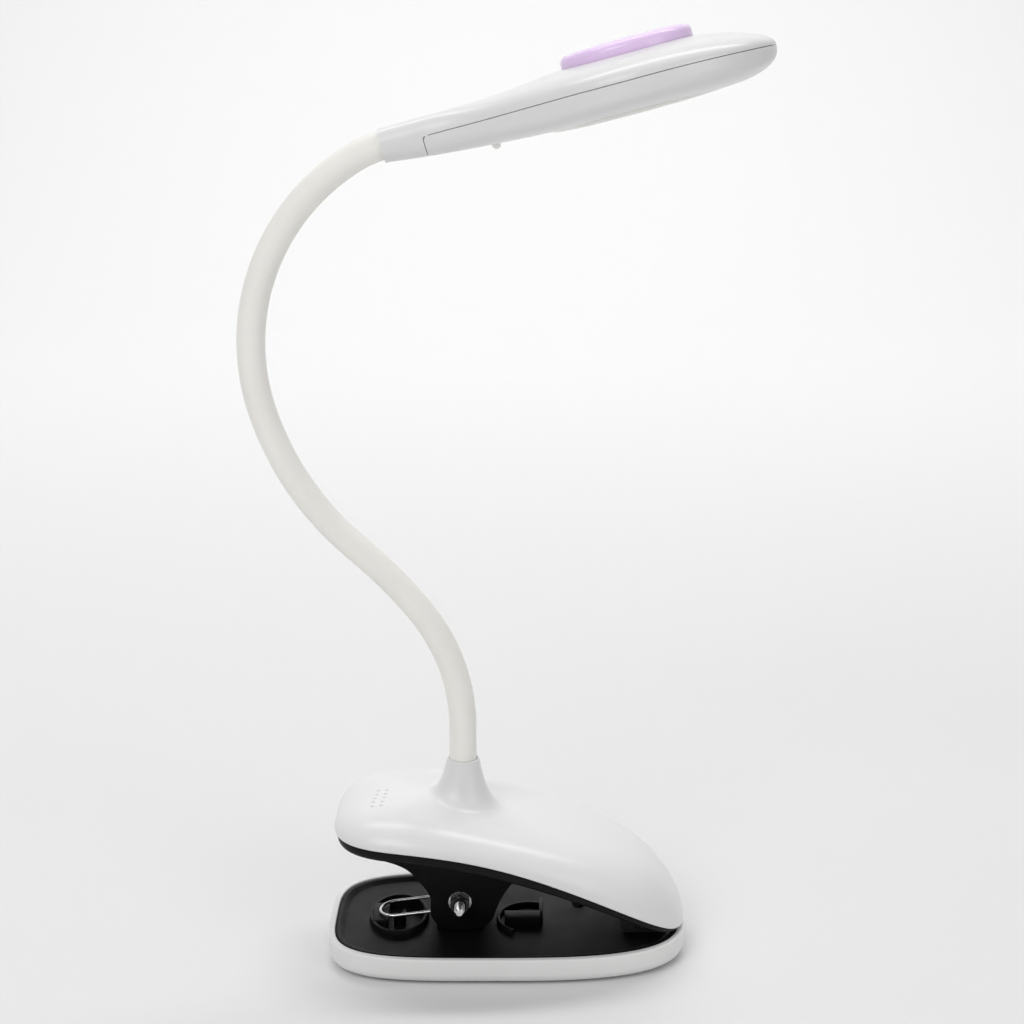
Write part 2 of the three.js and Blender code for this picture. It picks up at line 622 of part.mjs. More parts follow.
function headTopShell() {
  const neckBore = rod(NECK.radius + 0.35, -3, 13, 20).rotateY(Math.PI / 2).translate(0, 0, HEAD.collarAxis);
  const leadBore = rod(2.4, 10, 24, 12).rotateY(Math.PI / 2).translate(0, 0, HEAD.collarAxis + 1.5);
  const pocketCup = atDisc(rod(BUTTON.pocketRadius + 1.6, BUTTON.pocketFloor - 1.6, 9, 36));
  const pocket = atDisc(rod(BUTTON.pocketRadius, BUTTON.pocketFloor, 20, 36));
  const plungerHole = atDisc(rod(4, 0, 20, 16));
  const walls = cut(headSkin(), headHollow()).add(solidOf(pocketCup).intersect(solidOf(headSkin())));
  return geometryOf(walls.intersect(solidOf(aboveSplit(0))).subtract(solidOf(pocket))
    .subtract(solidOf(plungerHole)).subtract(solidOf(neckBore)).subtract(solidOf(leadBore)));
}

function headBottomShell() {
  const seat = atDisc(rod(LENS.seat, -20, LENS.seatTop, 36));
  const nubHole = rod(1.8, -20, 0, 12).translate(37, 0, 0);
  return geometryOf(cut(headSkin(), headHollow(), aboveSplit(HEAD.splitGap), seat, nubHole));
}

const diffuserLens = () => atDisc(turned([
  [0, LENS.bottom], [LENS.radius - 1.6, LENS.bottom], [LENS.radius, LENS.bottom + 0.8],
  [LENS.radius, LENS.top], [0, LENS.top],
], 36));

const reflector = () => atDisc(turned([
  [26.8, -8.9], [28.6, -8.9], [28.6, -8.3], [25.4, -3.8], [23, -3.8], [23, -4.8], [24.8, -4.8], [26.8, -8.9],
], 24));

function ledBoard() {
  const chips = Array.from({ length: 12 }, (_, i) => {
    const chip = box(-1.75, 1.75, -1.4, 1.4, -4.6, -3.4).translate(17, 0, 0).rotateZ((i / 12) * 2 * Math.PI);
    return atDisc(chip);
  });
  return geometryOf(join(atDisc(rod(22.6, -3.8, -2.2, 28)), ...chips));
}

const powerButton = () => {
  const b = BUTTON;
  return geometryOf(join(
    atDisc(turned([
      [0, b.bottom + 2], [b.radius - 2, b.bottom + 2], [b.radius - 2, b.bottom], [b.radius, b.bottom],
      [b.radius, b.top - 2.9], [b.radius - 0.5, b.top - 1.7], [b.radius - 1.6, b.top - 0.8],
      [b.radius - 4, b.top - 0.25], [b.radius - 9, b.top], [0, b.top],
    ], 36)),
    atDisc(rod(2.5, 4.4, b.bottom + 3, 12)),
  ));
};

const switchBoard = () => box(78, 98, -8, 8, -0.8, 0.6);
const tactSwitch = () => geometryOf(join(box(85, 91, -3, 3, 0.9, 2.6), atDisc(rod(1.7, 2, 3.2, 12))));
const indicatorLed = () => turned([
  [0, -12], [0.9, -11.8], [1.5, -11], [1.5, -7.8], [2.2, -7.8], [2.2, -7], [0, -7],
], 10).translate(37, 0, 0);

// ---- Materials ----
const MATERIALS = {
  glossWhite: { color: 0xf1f2f0, roughness: 0.28, metalness: 0 },
  trayWhite: { color: 0xe9e9e7, roughness: 0.35, metalness: 0 },
  blackPlastic: { color: 0x17181a, roughness: 0.4, metalness: 0 },
  silicone: { color: 0xeeebe4, roughness: 0.6, metalness: 0 },
  lilac: { color: 0xddc3e8, roughness: 0.3, metalness: 0 },
  steel: { color: 0xc8c9cb, roughness: 0.25, metalness: 1 },
  blackSteel: { color: 0x2a2b2d, roughness: 0.4, metalness: 0.9 },
  rubber: { color: 0x1c1c1c, roughness: 0.85, metalness: 0 },
  diffuser: { color: 0xf6f6f2, roughness: 0.45, metalness: 0 },
  reflector: { color: 0xffffff, roughness: 0.5, metalness: 0 },
  circuit: { color: 0x2f6d3f, roughness: 0.5, metalness: 0 },
  cell: { color: 0xb9bcc2, roughness: 0.4, metalness: 0.6 },
};

function material(name) {
  return new THREE.MeshStandardMaterial(MATERIALS[name]);
}

function piece(name, geometry, finish) {
  const mesh = new THREE.Mesh(geometry, material(finish));
  mesh.name = name;
  return mesh;
}

// ---- Assembly ----
function lowerJaw() {
  const group = new THREE.Group();
  group.add(
    piece('lower_tray', lowerTray(), 'trayWhite'),
    piece('lower_liner', lowerLiner(), 'blackPlastic'),
    piece('base_pad', basePad(), 'rubber'),
    piece('ballast_plate', ballastPlate(), 'steel'),
    piece('lower_jaw_pad', box(44, 57, -12, 12, LINER.floor, LINER.floor + 1.6), 'rubber'),
    piece('hinge_bolt', hingeBolt(), 'steel'),
    piece('hinge_nut', hingeNut(), 'steel'),
    piece('nut_washer', washer(-EAR.outer - BOLT.washer), 'steel'),
    piece('head_washer', washer(EAR.outer), 'steel'),
    piece('spring_sleeve', springSleeve(), 'blackPlastic'),
    piece('torsion_spring', wire(springLine(), SPRING.wire / 2, 5), 'steel'),
  );
  SCREW_PLACES.liner.forEach(([x, y], i) => {
    group.add(piece(`liner_screw_${i + 1}`, screw(x, y, LINER.floor, LINER.screwDepth), 'blackSteel'));
  });
  return group;
}

function upperJaw() {
  const group = new THREE.Group();
  const underCover = coverHeight(SCREW_PLACES.cover[0][0]) - 0.15;
  group.add(
    piece('upper_shell', upperShell(), 'glossWhite'),
    piece('upper_cover', upperCover(), 'blackPlastic'),
    piece('upper_jaw_pad', upperJawPad(), 'rubber'),
    piece('battery', box(-54, -27, -18, 18, 49.4, 55.6), 'cell'),
    piece('charge_board', box(-1, 17, 8, 26, 44, 45.2), 'circuit'),
    piece('charge_port', box(6.2, 13.8, 26.3, 31.8, 43.6, 46.2), 'steel'),
    piece('neck_ferrule', tube(5, NECK.core + 0.2, 50, 61.5, 20).translate(STEM.x, 0, 0), 'steel'),
    piece('neck_nut', neckNut(), 'steel'),
    piece('neck_base_sleeve', sleeve(-12.5, jointDistance(0), { ball: true }), 'silicone'),
    piece('neck_base_core', core(-25, jointDistance(0), 0), 'steel'),
  );
  SCREW_PLACES.cover.forEach(([x, y], i) => {
    group.add(piece(`cover_screw_${i + 1}`, screw(x, y, underCover, 5.5, -1), 'blackSteel'));
  });
  return group;
}

function neckLinks() {
  const group = new THREE.Group();
  for (let i = 1; i < NECK.joints; i += 1) {
    const [from, to] = [jointDistance(i - 1), jointDistance(i)];
    group.add(
      piece(`neck_sleeve_${i}`, sleeve(from, to, { socket: true, ball: true }), 'silicone'),
      piece(`neck_core_${i}`, core(from, to), 'steel'),
    );
  }
  return group;
}

function neckTop() {
  const group = new THREE.Group();
  const last = jointDistance(NECK.joints - 1);
  group.add(
    piece('neck_top_sleeve', sleeve(last, NECK_LENGTH + 11, { socket: true }), 'silicone'),
    piece('neck_top_core', core(last, NECK_LENGTH + 10, 5.8, 0.5), 'steel'),
  );
  return group;
}

function head() {
  const group = new THREE.Group();
  group.position.set(HEAD.x, 0, HEAD.z);
  group.rotation.y = THREE.MathUtils.degToRad(-HEAD.tilt);
  group.add(
    piece('head_top_shell', headTopShell(), 'glossWhite'),
    piece('head_bottom_shell', headBottomShell(), 'glossWhite'),
    piece('diffuser_lens', diffuserLens(), 'diffuser'),
    piece('reflector', reflector(), 'reflector'),
    piece('led_board', ledBoard(), 'circuit'),
    piece('switch_board', switchBoard(), 'circuit'),
    piece('tact_switch', tactSwitch(), 'blackPlastic'),
    piece('indicator_led', indicatorLed(), 'diffuser'),
    piece('power_button', powerButton(), 'lilac'),
  );
  return group;
}

const lamp = new THREE.Group();
lamp.add(lowerJaw(), upperJaw(), neckLinks(), neckTop(), head());

export default lamp;
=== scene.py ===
"""Clip-on reading lamp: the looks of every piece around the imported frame.
Shapes are worked out in millimetres and turned into metres when a mesh is made."""
import json
import math

import bmesh
import bpy
import numpy as np
from mathutils import Matrix, Vector


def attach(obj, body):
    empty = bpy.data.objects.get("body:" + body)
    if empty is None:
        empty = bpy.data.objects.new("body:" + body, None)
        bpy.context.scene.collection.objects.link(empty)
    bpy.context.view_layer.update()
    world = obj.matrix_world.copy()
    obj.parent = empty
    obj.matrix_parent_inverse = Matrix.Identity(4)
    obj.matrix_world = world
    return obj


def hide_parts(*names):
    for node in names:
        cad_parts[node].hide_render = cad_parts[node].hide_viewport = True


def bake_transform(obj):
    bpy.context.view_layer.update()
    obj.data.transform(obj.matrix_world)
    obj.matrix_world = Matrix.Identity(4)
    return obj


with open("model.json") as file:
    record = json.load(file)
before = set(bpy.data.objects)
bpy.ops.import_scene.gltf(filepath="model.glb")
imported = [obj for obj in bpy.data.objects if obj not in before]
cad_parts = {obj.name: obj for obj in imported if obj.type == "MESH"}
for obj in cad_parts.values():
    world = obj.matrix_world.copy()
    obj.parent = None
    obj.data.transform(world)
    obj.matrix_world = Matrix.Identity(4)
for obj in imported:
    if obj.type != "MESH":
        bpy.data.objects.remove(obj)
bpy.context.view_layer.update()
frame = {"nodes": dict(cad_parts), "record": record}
MM = 0.001

# ---- Camera: millimetres of lens, metres, and degrees up from straight down ----
CAMERA_LENS = 61.52
CAMERA_PLACE = (0.0019, -0.617, 0.3236)
CAMERA_TILT = 76
camera_data = bpy.data.cameras.new("camera")
camera_data.lens = CAMERA_LENS
camera_data.sensor_width = 36
camera_data.clip_start = 0.01
camera = bpy.data.objects.new("camera", camera_data)
camera.location = CAMERA_PLACE
camera.rotation_euler = (math.radians(CAMERA_TILT), 0, 0)
bpy.context.scene.collection.objects.link(camera)
bpy.context.scene.camera = camera

# ---- Driving dimensions, millimetres, the same as the CAD model's ----
TRAY = dict(left=-67.7, right=67.7, widest=-6, half_width=37.5, left_power=3.9, right_power=3)
TRAY_UNDERSIDE, TRAY_HEIGHT, TRAY_WALL, TRAY_FLOOR = 0.6, 10.5, 2.4, 2.6
SHELL = dict(left=-64.7, right=67.4, widest=-6, half_width=36.5, left_power=3.4, right_power=2.8)
SHELL_WALL = 2.2
RIM_FLAT_TO, RIM_HEIGHT, RIM_RADIUS, RIM_TIP = -45, 51, 153, 11.2
DOME_SIDE_POWER, DOME_TOP_POWER = 4.6, 1.8
COVER_STRIP, COVER_TIP_STRIP, COVER_LOWEST, COVER_LIP, COVER_GAP = 4.3, 3.2, 10.9, 1.5, 0.3
STEM_X, STEM_TOP, STEM_RADIUS, STEM_BORE, STEM_FLARE, STEM_POWER = -16.5, 74.7, 6.1, 5.25, 22, 5
PIVOT_X, PIVOT_Z = -17.7, 21.5
EAR_INNER, EAR_OUTER = 10.2, 12.6
CHEEK_INNER, CHEEK_OUTER, CHEEK_RADIUS = 7.6, 9.8, 8.5
LINER_UNDERSIDE, LINER_TOP, LINER_FLOOR = 4.6, 10.2, 8.6
LINER_GAP, LINER_WALL_FOOT = 0.3, 6.2
COLLAR_X, COLLAR_LENGTH, COLLAR_WIDTH, COLLAR_WALL, COLLAR_TOP, WELL_FLOOR = -41.5, 11.5, 16, 1.6, 11, 6.2
POCKET_X, POCKET_Y, POCKET_LENGTH, POCKET_WIDTH, POCKET_WALL, POCKET_TOP = 8.5, -2.5, 12.5, 13, 1.3, 10.4
POCKET_RIGHT, POCKET_NEAR_END = 13.7, 2.5
RIB_LEFT, RIB_NEAR, RIB_FAR, POST_FAR, RIB_THICKNESS, RIB_TOP = -1, -6.3, -0.6, 10.2, 1.3, 12
NECK_RADIUS, NECK_JOINTS, FIRST_JOINT = 5.1, 8, 8
NECK_STRETCHES = ((12.8, 0), (48.3, 38), (27, 9.5), (9.2, 0), (58.4, -31), (103.6, -76.5), (10.9, -15))
NECK_LENGTH = sum(length for length, _ in NECK_STRETCHES)
HEAD_X, HEAD_Z, HEAD_TILT = -41.9, 301, 15
SHOULDER, DISC, NOSE, HEAD_HALF_WIDTH, COLLAR_RADIUS, COLLAR_AXIS = 13.2, 88, 49.5, 42, 6, -0.6
BUTTON_RADIUS, BUTTON_BOTTOM, BUTTON_TOP, HOLE_RADIUS, BUTTON_FLOOR = 23, 6.9, 12.9, 23.45, 5.6
LENS_RADIUS, LENS_BOTTOM, LENS_TOP = 31, -12, -9.4
NUB_X, NUB_RADIUS, NUB_FLANGE = 37, 1.55, 2.2
PARTING_GAP, SKIN_THICKNESS = 0.22, 1.5
NUT_FLATS, NUT_HEIGHT, WASHER, BOLT_RADIUS, BOLT_END, THREAD_PITCH = 7, 3, 0.5, 2, -22.0, 0.7
HEAD_PLACE = Matrix.Translation((HEAD_X * MM, 0, HEAD_Z * MM))
HEAD_MATRIX = HEAD_PLACE @ Matrix.Rotation(math.radians(-HEAD_TILT), 4, "Y")
SPRING_WIRE, SPRING_COIL, SPRING_PITCH, SPRING_TURNS, SPRING_INNER = 1.15, 5.6, 1.5, 3.39, 1.2
SPRING_LEG_ANGLE, SPRING_LEG = 146, 35
SPRING_LOOP_FROM_COLLAR, SPRING_LOOP_HEIGHT, SPRING_LOOP_SLOPE = 7.2, 12, 0.1
DOT_X, DOT_Y, DOT_COLUMN, DOT_ROW, DOT_LEAN = -48.6, 0.2, 3.2, 3.4, 0.32
DOT_RADIUS, DOT_RISE, DOT_SQUEEZE = 0.75, 0.42, 0.72


# ---- Small maths ----
def smooth_step(low, high, value):
    t = np.clip((np.asarray(value, float) - low) / (high - low), 0, 1)
    return t * t * (3 - 2 * t)


def soft_max(a, b):
    """The larger of two heights, blended smoothly where they meet."""
    return (np.maximum(a, 0) ** 8 + b**8) ** (1 / 8)


def signed_power(value, power):
    return np.sign(value) * np.abs(value) ** power


def arc(cx, cy, rx, ry, start, end, steps):
    """Points of an elliptic arc, angles in degrees."""
    angles = np.radians(np.linspace(start, end, steps + 1))
    return [(cx + rx * math.cos(a), cy + ry * math.sin(a)) for a in angles]


# ---- Meshes ----
def make_object(name, verts, faces, smooth_angle=35):
    mesh = bpy.data.meshes.new(name)
    mesh.from_pydata([tuple(v) for v in np.asarray(verts, float) * MM], [], faces)
    mesh.update()
    obj = bpy.data.objects.new(name, mesh)
    bpy.context.scene.collection.objects.link(obj)
    tidy_mesh(obj, smooth_angle)
    return obj


def tidy_mesh(obj, smooth_angle=35):
    """Faces outward, doubles merged, smooth shading with sharp edges past the angle."""
    bm = bmesh.new()
    bm.from_mesh(obj.data)
    bmesh.ops.remove_doubles(bm, verts=bm.verts, dist=2e-6)
    bmesh.ops.recalc_face_normals(bm, faces=bm.faces)
    bm.to_mesh(obj.data)
    bm.free()
    obj.data.shade_smooth()
    obj.data.set_sharp_from_angle(angle=math.radians(smooth_angle))
    return obj


def loft(rings, loop=False, start_tip=None, end_tip=None):
    """Vertices and faces of a skin over rings of equally many points, its ends closed unless it loops."""
    rings = [np.asarray(r, float) for r in rings]
    count = len(rings[0])
    verts = np.concatenate(rings)
    faces = []
    spans = len(rings) if loop else len(rings) - 1
    for i in range(spans):
        a, b = i * count, ((i + 1) % len(rings)) * count
        for j in range(count):
            k = (j + 1) % count
            faces.append((a + j, a + k, b + k, b + j))
    if not loop:
        for tip, first, flip in ((start_tip, 0, True), (end_tip, (len(rings) - 1) * count, False)):
            ring = verts[first:first + count]
            centre = len(verts)
            verts = np.vstack([verts, ring.mean(0) if tip is None else tip])
            for j in range(count):
                k = (j + 1) % count
                faces.append((first + k, first + j, centre) if flip else (first + j, first + k, centre))
    return verts, faces


def combine(name, parts):
    """One object from several (vertices, faces) bodies."""
    verts, faces, offset = [], [], 0
    for part_verts, part_faces in parts:
        verts.append(np.asarray(part_verts, float))
        faces += [tuple(i + offset for i in f) for f in part_faces]
        offset += len(part_verts)
    return make_object(name, np.concatenate(verts), faces)


def turned(profile, sides=96):
    """A body turned about +Z from (radius, z) pairs that start and end on the axis."""
    angles = np.linspace(0, 2 * math.pi, sides, endpoint=False)
    ring = np.stack([np.cos(angles), np.sin(angles), np.zeros(sides)], 1)
    rings = [ring * r + np.array([0, 0, z]) for r, z in profile[1:-1]]
    return loft(rings, start_tip=(0, 0, profile[0][1]), end_tip=(0, 0, profile[-1][1]))


def along_hinge(part):
    """A body made about +Z, turned to lie along the hinge's axis."""
    verts, faces = part
    v = np.asarray(verts, float)
    return np.stack([v[:, 0] + PIVOT_X, v[:, 2], -v[:, 1] + PIVOT_Z], 1), faces


def shifted(part, along_x):
    verts, faces = part
    return np.asarray(verts, float) + np.array([along_x, 0, 0]), faces


def round_box(x0, x1, y0, y1, z0, z1, radius=0.4):
    """A box with rounded edges and corners."""
    bm = bmesh.new()
    bmesh.ops.create_cube(bm, size=1)
    for v in bm.verts:
        v.co = Vector((
            x0 if v.co.x < 0 else x1, y0 if v.co.y < 0 else y1, z0 if v.co.z < 0 else z1,
        ))
    bmesh.ops.bevel(bm, geom=list(bm.edges), offset=radius, segments=3, affect="EDGES", profile=0.5)
    bm.verts.index_update()
    part = ([tuple(v.co) for v in bm.verts], [tuple(v.index for v in f.verts) for f in bm.faces])
    bm.free()
    return part


def plate(outline, y0, y1, bevel=0.35):
    """A side outline of (x, z) points given thickness along Y, with rounded edges."""
    points = np.array(outline, float)
    following = np.roll(points, -1, 0)
    if np.sum(points[:, 0] * following[:, 1] - following[:, 0] * points[:, 1]) < 0:
        points = points[::-1]
    edge = np.roll(points, -1, 0) - np.roll(points, 1, 0)
    normal = np.stack([edge[:, 1], -edge[:, 0]], 1)
    normal /= np.maximum(np.linalg.norm(normal, axis=1, keepdims=True), 1e-9)
    rings = []
    for pull, y in ((bevel, y0), (bevel * 0.3, y0 + bevel * 0.3), (0, y0 + bevel),
                    (0, y1 - bevel), (bevel * 0.3, y1 - bevel * 0.3), (bevel, y1)):
        p = points - normal * pull
        rings.append(np.stack([p[:, 0], np.full(len(p), y), p[:, 1]], 1))
    count = len(points)
    verts = np.concatenate(rings)
    faces = []
    for i in range(len(rings) - 1):
        for j in range(count):
            k = (j + 1) % count
            faces.append((i * count + j, i * count + k, (i + 1) * count + k, (i + 1) * count + j))
    faces.append(tuple(range(count))[::-1])
    faces.append(tuple(range((len(rings) - 1) * count, len(rings) * count)))
    return verts, faces


def prism(outline, half):
    """A side outline of (x, z) points as a plain prism from -half to +half along Y."""
    count = len(outline)
    verts = [(x, -half, z) for x, z in outline] + [(x, half, z) for x, z in outline]
    faces = [tuple(range(count)), tuple(reversed(range(count, 2 * count)))]
    faces += [(j, (j + 1) % count, count + (j + 1) % count, count + j) for j in range(count)]
    return verts, faces


def bezier(p0, p1, p2, steps=10):
    """Points of a quadratic curve, without its first."""
    t = np.linspace(0, 1, steps + 1)[1:, None]
    p0, p1, p2 = (np.array(p, float) for p in (p0, p1, p2))
    return [tuple(p) for p in (1 - t) ** 2 * p0 + 2 * t * (1 - t) * p1 + t**2 * p2]


def wire(points, radius, sides=14):
    """A round wire along a line of points, its section carried along without twist."""
    points = np.asarray(points, float)
    across = None
    rings = []
    angles = np.linspace(0, 2 * math.pi, sides, endpoint=False)
    for i, p in enumerate(points):
        ahead = points[min(len(points) - 1, i + 1)] - points[max(0, i - 1)]
        ahead /= np.linalg.norm(ahead)
        if across is None:
            across = np.array([0, 1.0, 0]) if abs(ahead[1]) < 0.9 else np.array([1.0, 0, 0])
        across = across - ahead * (across @ ahead)
        across /= np.linalg.norm(across)
        other = np.cross(ahead, across)
        rings.append(p + radius * (np.outer(np.cos(angles), across) + np.outer(np.sin(angles), other)))
    return loft(rings)


def boolean(obj, tool, operation):
    """Cuts or joins with another object, which is then removed."""
    modifier = obj.modifiers.new("cut", "BOOLEAN")
    modifier.operation = operation
    modifier.object = tool
    modifier.solver = "EXACT"
    bpy.context.view_layer.update()
    evaluated = obj.evaluated_get(bpy.context.evaluated_depsgraph_get())
    mesh = bpy.data.meshes.new_from_object(evaluated)
    obj.modifiers.clear()
    old = obj.data
    obj.data = mesh
    bpy.data.meshes.remove(old)
    bpy.data.objects.remove(tool)
    return obj


# ---- Outlines seen from above ----
def plan_ring(plan, inset, height, scale=1, count=240):
    """One ring of an outline, pulled in by `inset` and shrunk by `scale` towards its middle."""
    angle = np.linspace(0, 2 * math.pi, count, endpoint=False)
    c, s = np.cos(angle), np.sin(angle)
    length = np.where(c < 0, plan["widest"] - plan["left"], plan["right"] - plan["widest"]) - inset
    width = plan["half_width"] - inset
    power = np.where(c < 0, plan["left_power"], plan["right_power"])
    radius = (np.abs(c / length) ** power + np.abs(s / width) ** power) ** (-1 / power)
    x = plan["widest"] + radius * c * scale
    y = radius * s * scale
    z = height(x, y) if callable(height) else np.full(count, float(height))
    return np.stack([x, y, z], 1)


def plan_share(plan, x, y, inset=0):
    """How far out a point lies in an outline, from 0 in the middle to 1 on its edge."""
    left = x < plan["widest"]
    length = np.where(left, plan["widest"] - plan["left"], plan["right"] - plan["widest"]) - inset
    width = plan["half_width"] - inset
    power = np.where(left, plan["left_power"], plan["right_power"])
    total = np.abs((x - plan["widest"]) / length) ** power + np.abs(y / width) ** power
    return np.minimum(1, total ** (1 / power))


# ---- Upper jaw surfaces ----
def rim_height(x):
    """The shell's lower edge: level over the handle, then an arc down to the tip."""
    fall = np.maximum(0, np.asarray(x) - RIM_FLAT_TO) ** 2 / (2 * RIM_RADIUS)
    return soft_max(RIM_HEIGHT - fall, RIM_TIP)


def ridge_height(x):
    """The shell's top line along its middle."""
    u = np.asarray(x) / 65
    return 54.5 - 16 * u - 5.3 * u**2 + 2.4 * u**3


def cover_height(x):
    strip = COVER_STRIP + (COVER_TIP_STRIP - COVER_STRIP) * smooth_step(0, 50, x)
    return soft_max(rim_height(x) - strip, COVER_LOWEST)


def dome_height(x, y, inset=0.0):
    share = plan_share(SHELL, x, y, inset)
    rise = (1 - share**DOME_SIDE_POWER) ** (1 / DOME_TOP_POWER)
    return rim_height(x) + (ridge_height(x) - inset - rim_height(x)) * rise


# ---- Neck and head lines ----
def neck_at(distance):
    """Position (x, z) and heading at a distance along the neck, which is straight past its ends."""
    x, z, heading, left = STEM_X, STEM_TOP, math.pi / 2, distance
    if left < 0:
        return x, z + left, heading
    for length, degrees in NECK_STRETCHES:
        turn = math.radians(degrees)
        run = min(left, length)
        bend = turn * run / length
        if abs(turn) < 1e-9:
            x += run * math.cos(heading)
            z += run * math.sin(heading)
        else:
            radius = length / turn
            x += radius * (math.sin(heading + bend) - math.sin(heading))
            z -= radius * (math.cos(heading + bend) - math.cos(heading))
        heading += bend
        left -= run
        if left <= 0:
            return x, z, heading
    return x + left * math.cos(heading), z + left * math.sin(heading), heading


JOINT_STEP = (NECK_LENGTH - 2 * FIRST_JOINT) / (NECK_JOINTS - 1)


def neck_ring(distance, radius, sides=64):
    """A round section across the neck."""
    x, z, heading = neck_at(distance)
    angle = np.linspace(0, 2 * math.pi, sides, endpoint=False)
    out = radius * np.cos(angle)
    across = radius * np.sin(angle)
    return np.stack([x - out * math.sin(heading), across, z + out * math.cos(heading)], 1)


def head_share(x):
    return np.clip((np.asarray(x, float) - DISC) / NOSE, 0, 1)


def head_half_width(x):
    tail = COLLAR_RADIUS + (HEAD_HALF_WIDTH - COLLAR_RADIUS) * smooth_step(14, DISC, x)
    return np.where(np.asarray(x) < DISC, tail, HEAD_HALF_WIDTH * np.sqrt(1 - head_share(x) ** 2))


def head_split(x):
    tail = -1 + 0.6 * smooth_step(30, 70, x)
    return np.where(np.asarray(x) < DISC, tail, -0.4 - 2.1 * head_share(x) ** 2)


def head_top(x):
    tail = 5.4 + 3.6 * smooth_step(28, 84, x)
    disc = head_split(x) + 9.4 * np.sqrt(1 - head_share(x) ** 2)
    return np.where(np.asarray(x) < DISC, tail, disc)


def head_bottom(x):
    tail = -11.4 + 4.8 * (1 - np.clip(np.asarray(x) / DISC, 0, 1)) ** 2.4
    disc = head_split(x) - 11 * np.sqrt(1 - head_share(x) ** 4.5)
    return np.where(np.asarray(x) < DISC, tail, disc)


def head_ring(x, inset=0.0, count=160):
    """A section across the head, round at the collar and flatter below over the disc."""
    disc = smooth_step(16, 60, x)
    top_power, low_power = 2 + 0.2 * disc, 2 + 2 * disc
    split = COLLAR_AXIS + (head_split(x) - COLLAR_AXIS) * smooth_step(12, 30, x)
    width = max(0.05, float(head_half_width(x)) - inset)
    up = max(0.05, float(head_top(x) - split) - inset)
    down = max(0.05, float(split - head_bottom(x)) - inset)
    angle = np.linspace(0, 2 * math.pi, count, endpoint=False)
    c, s = np.cos(angle), np.sin(angle)
    power = np.where(s >= 0, top_power, low_power)
    z = split + np.where(s >= 0, up, down) * signed_power(s, 2 / power)
    return np.stack([np.full(count, float(x)), width * signed_power(c, 2 / power), z], 1)


def in_head(part):
    """From the head's own frame to the lamp's."""
    verts, faces = part
    v = np.asarray(verts, float)
    c, s = math.cos(math.radians(HEAD_TILT)), math.sin(math.radians(HEAD_TILT))
    x = HEAD_X + v[:, 0] * c - v[:, 2] * s
    z = HEAD_Z + v[:, 0] * s + v[:, 2] * c
    return np.stack([x, v[:, 1], z], 1), faces


# ---- Materials ----
def new_material(name, color, roughness, metallic=0.0, ior=1.46):
    material = bpy.data.materials.new(name)
    material.use_nodes = True
    shader = material.node_tree.nodes["Principled BSDF"]
    shader.inputs["Base Color"].default_value = (*color, 1)
    shader.inputs["Roughness"].default_value = roughness
    shader.inputs["Metallic"].default_value = metallic
    shader.inputs["IOR"].default_value = ior
    return material, shader


def noise(material, scale, detail=4.0, rough=0.55):
    """A noise texture in the object's own metres."""
    tree = material.node_tree
    coordinates = tree.nodes.new("ShaderNodeTexCoord")
    texture = tree.nodes.new("ShaderNodeTexNoise")
    texture.inputs["Scale"].default_value = scale
    texture.inputs["Detail"].default_value = detail
    texture.inputs["Roughness"].default_value = rough
    tree.links.new(coordinates.outputs["Object"], texture.inputs["Vector"])
    return texture.outputs["Fac"]


def set_ramp(ramp, *stops):
    for element, (position, color) in zip(ramp.color_ramp.elements, stops):
        element.position = position
        element.color = (*color, 1)


def vary_color(material, shader, fac, low, high):
    ramp = material.node_tree.nodes.new("ShaderNodeValToRGB")
    set_ramp(ramp, (0.35, low), (0.65, high))
    material.node_tree.links.new(fac, ramp.inputs["Fac"])
    material.node_tree.links.new(ramp.outputs["Color"], shader.inputs["Base Color"])


def vary_roughness(material, shader, fac, low, high):
    span = material.node_tree.nodes.new("ShaderNodeMapRange")
    span.inputs["From Min"].default_value = 0.3
    span.inputs["From Max"].default_value = 0.7
    span.inputs["To Min"].default_value = low
    span.inputs["To Max"].default_value = high
    material.node_tree.links.new(fac, span.inputs["Value"])
    material.node_tree.links.new(span.outputs["Result"], shader.inputs["Roughness"])


def add_bump(material, shader, fac, strength, depth):
    bump = material.node_tree.nodes.new("ShaderNodeBump")
    bump.inputs["Strength"].default_value = strength
    bump.inputs["Distance"].default_value = depth
    material.node_tree.links.new(fac, bump.inputs["Height"])
    material.node_tree.links.new(bump.outputs["Normal"], shader.inputs["Normal"])


def moulded(name, color, roughness, spread=0.02, grain=1400, depth=0.00002, rough_span=0.05,
            bump=0.08, specular=0.5):
    """Moulded plastic: a faint mottle, a fine skin and slightly uneven gloss."""
    material, shader = new_material(name, color, roughness)
    shader.inputs["Specular IOR Level"].default_value = specular
    low = tuple(max(0.0, c * (1 - spread)) for c in color)
    high = tuple(min(1.0, c * (1 + spread)) for c in color)
    vary_color(material, shader, noise(material, 40, 2), low, high)
    glossiest, dullest = roughness - rough_span, roughness + rough_span
    vary_roughness(material, shader, noise(material, 90, 2), glossiest, dullest)
    add_bump(material, shader, noise(material, grain, 3), bump, depth)
    return material


def metal(name, color, roughness, grain=900):
    """Drawn or plated metal: a faint stain, fine grain and slightly uneven polish."""
    material, shader = new_material(name, color, roughness, metallic=1.0)
    vary_color(material, shader, noise(material, 160), tuple(c * 0.93 for c in color), color)
    vary_roughness(material, shader, noise(material, grain, 3, 0.5), roughness * 0.85, roughness * 1.2)
    add_bump(material, shader, noise(material, grain, 2, 0.5), 0.05, 0.00001)
    return material


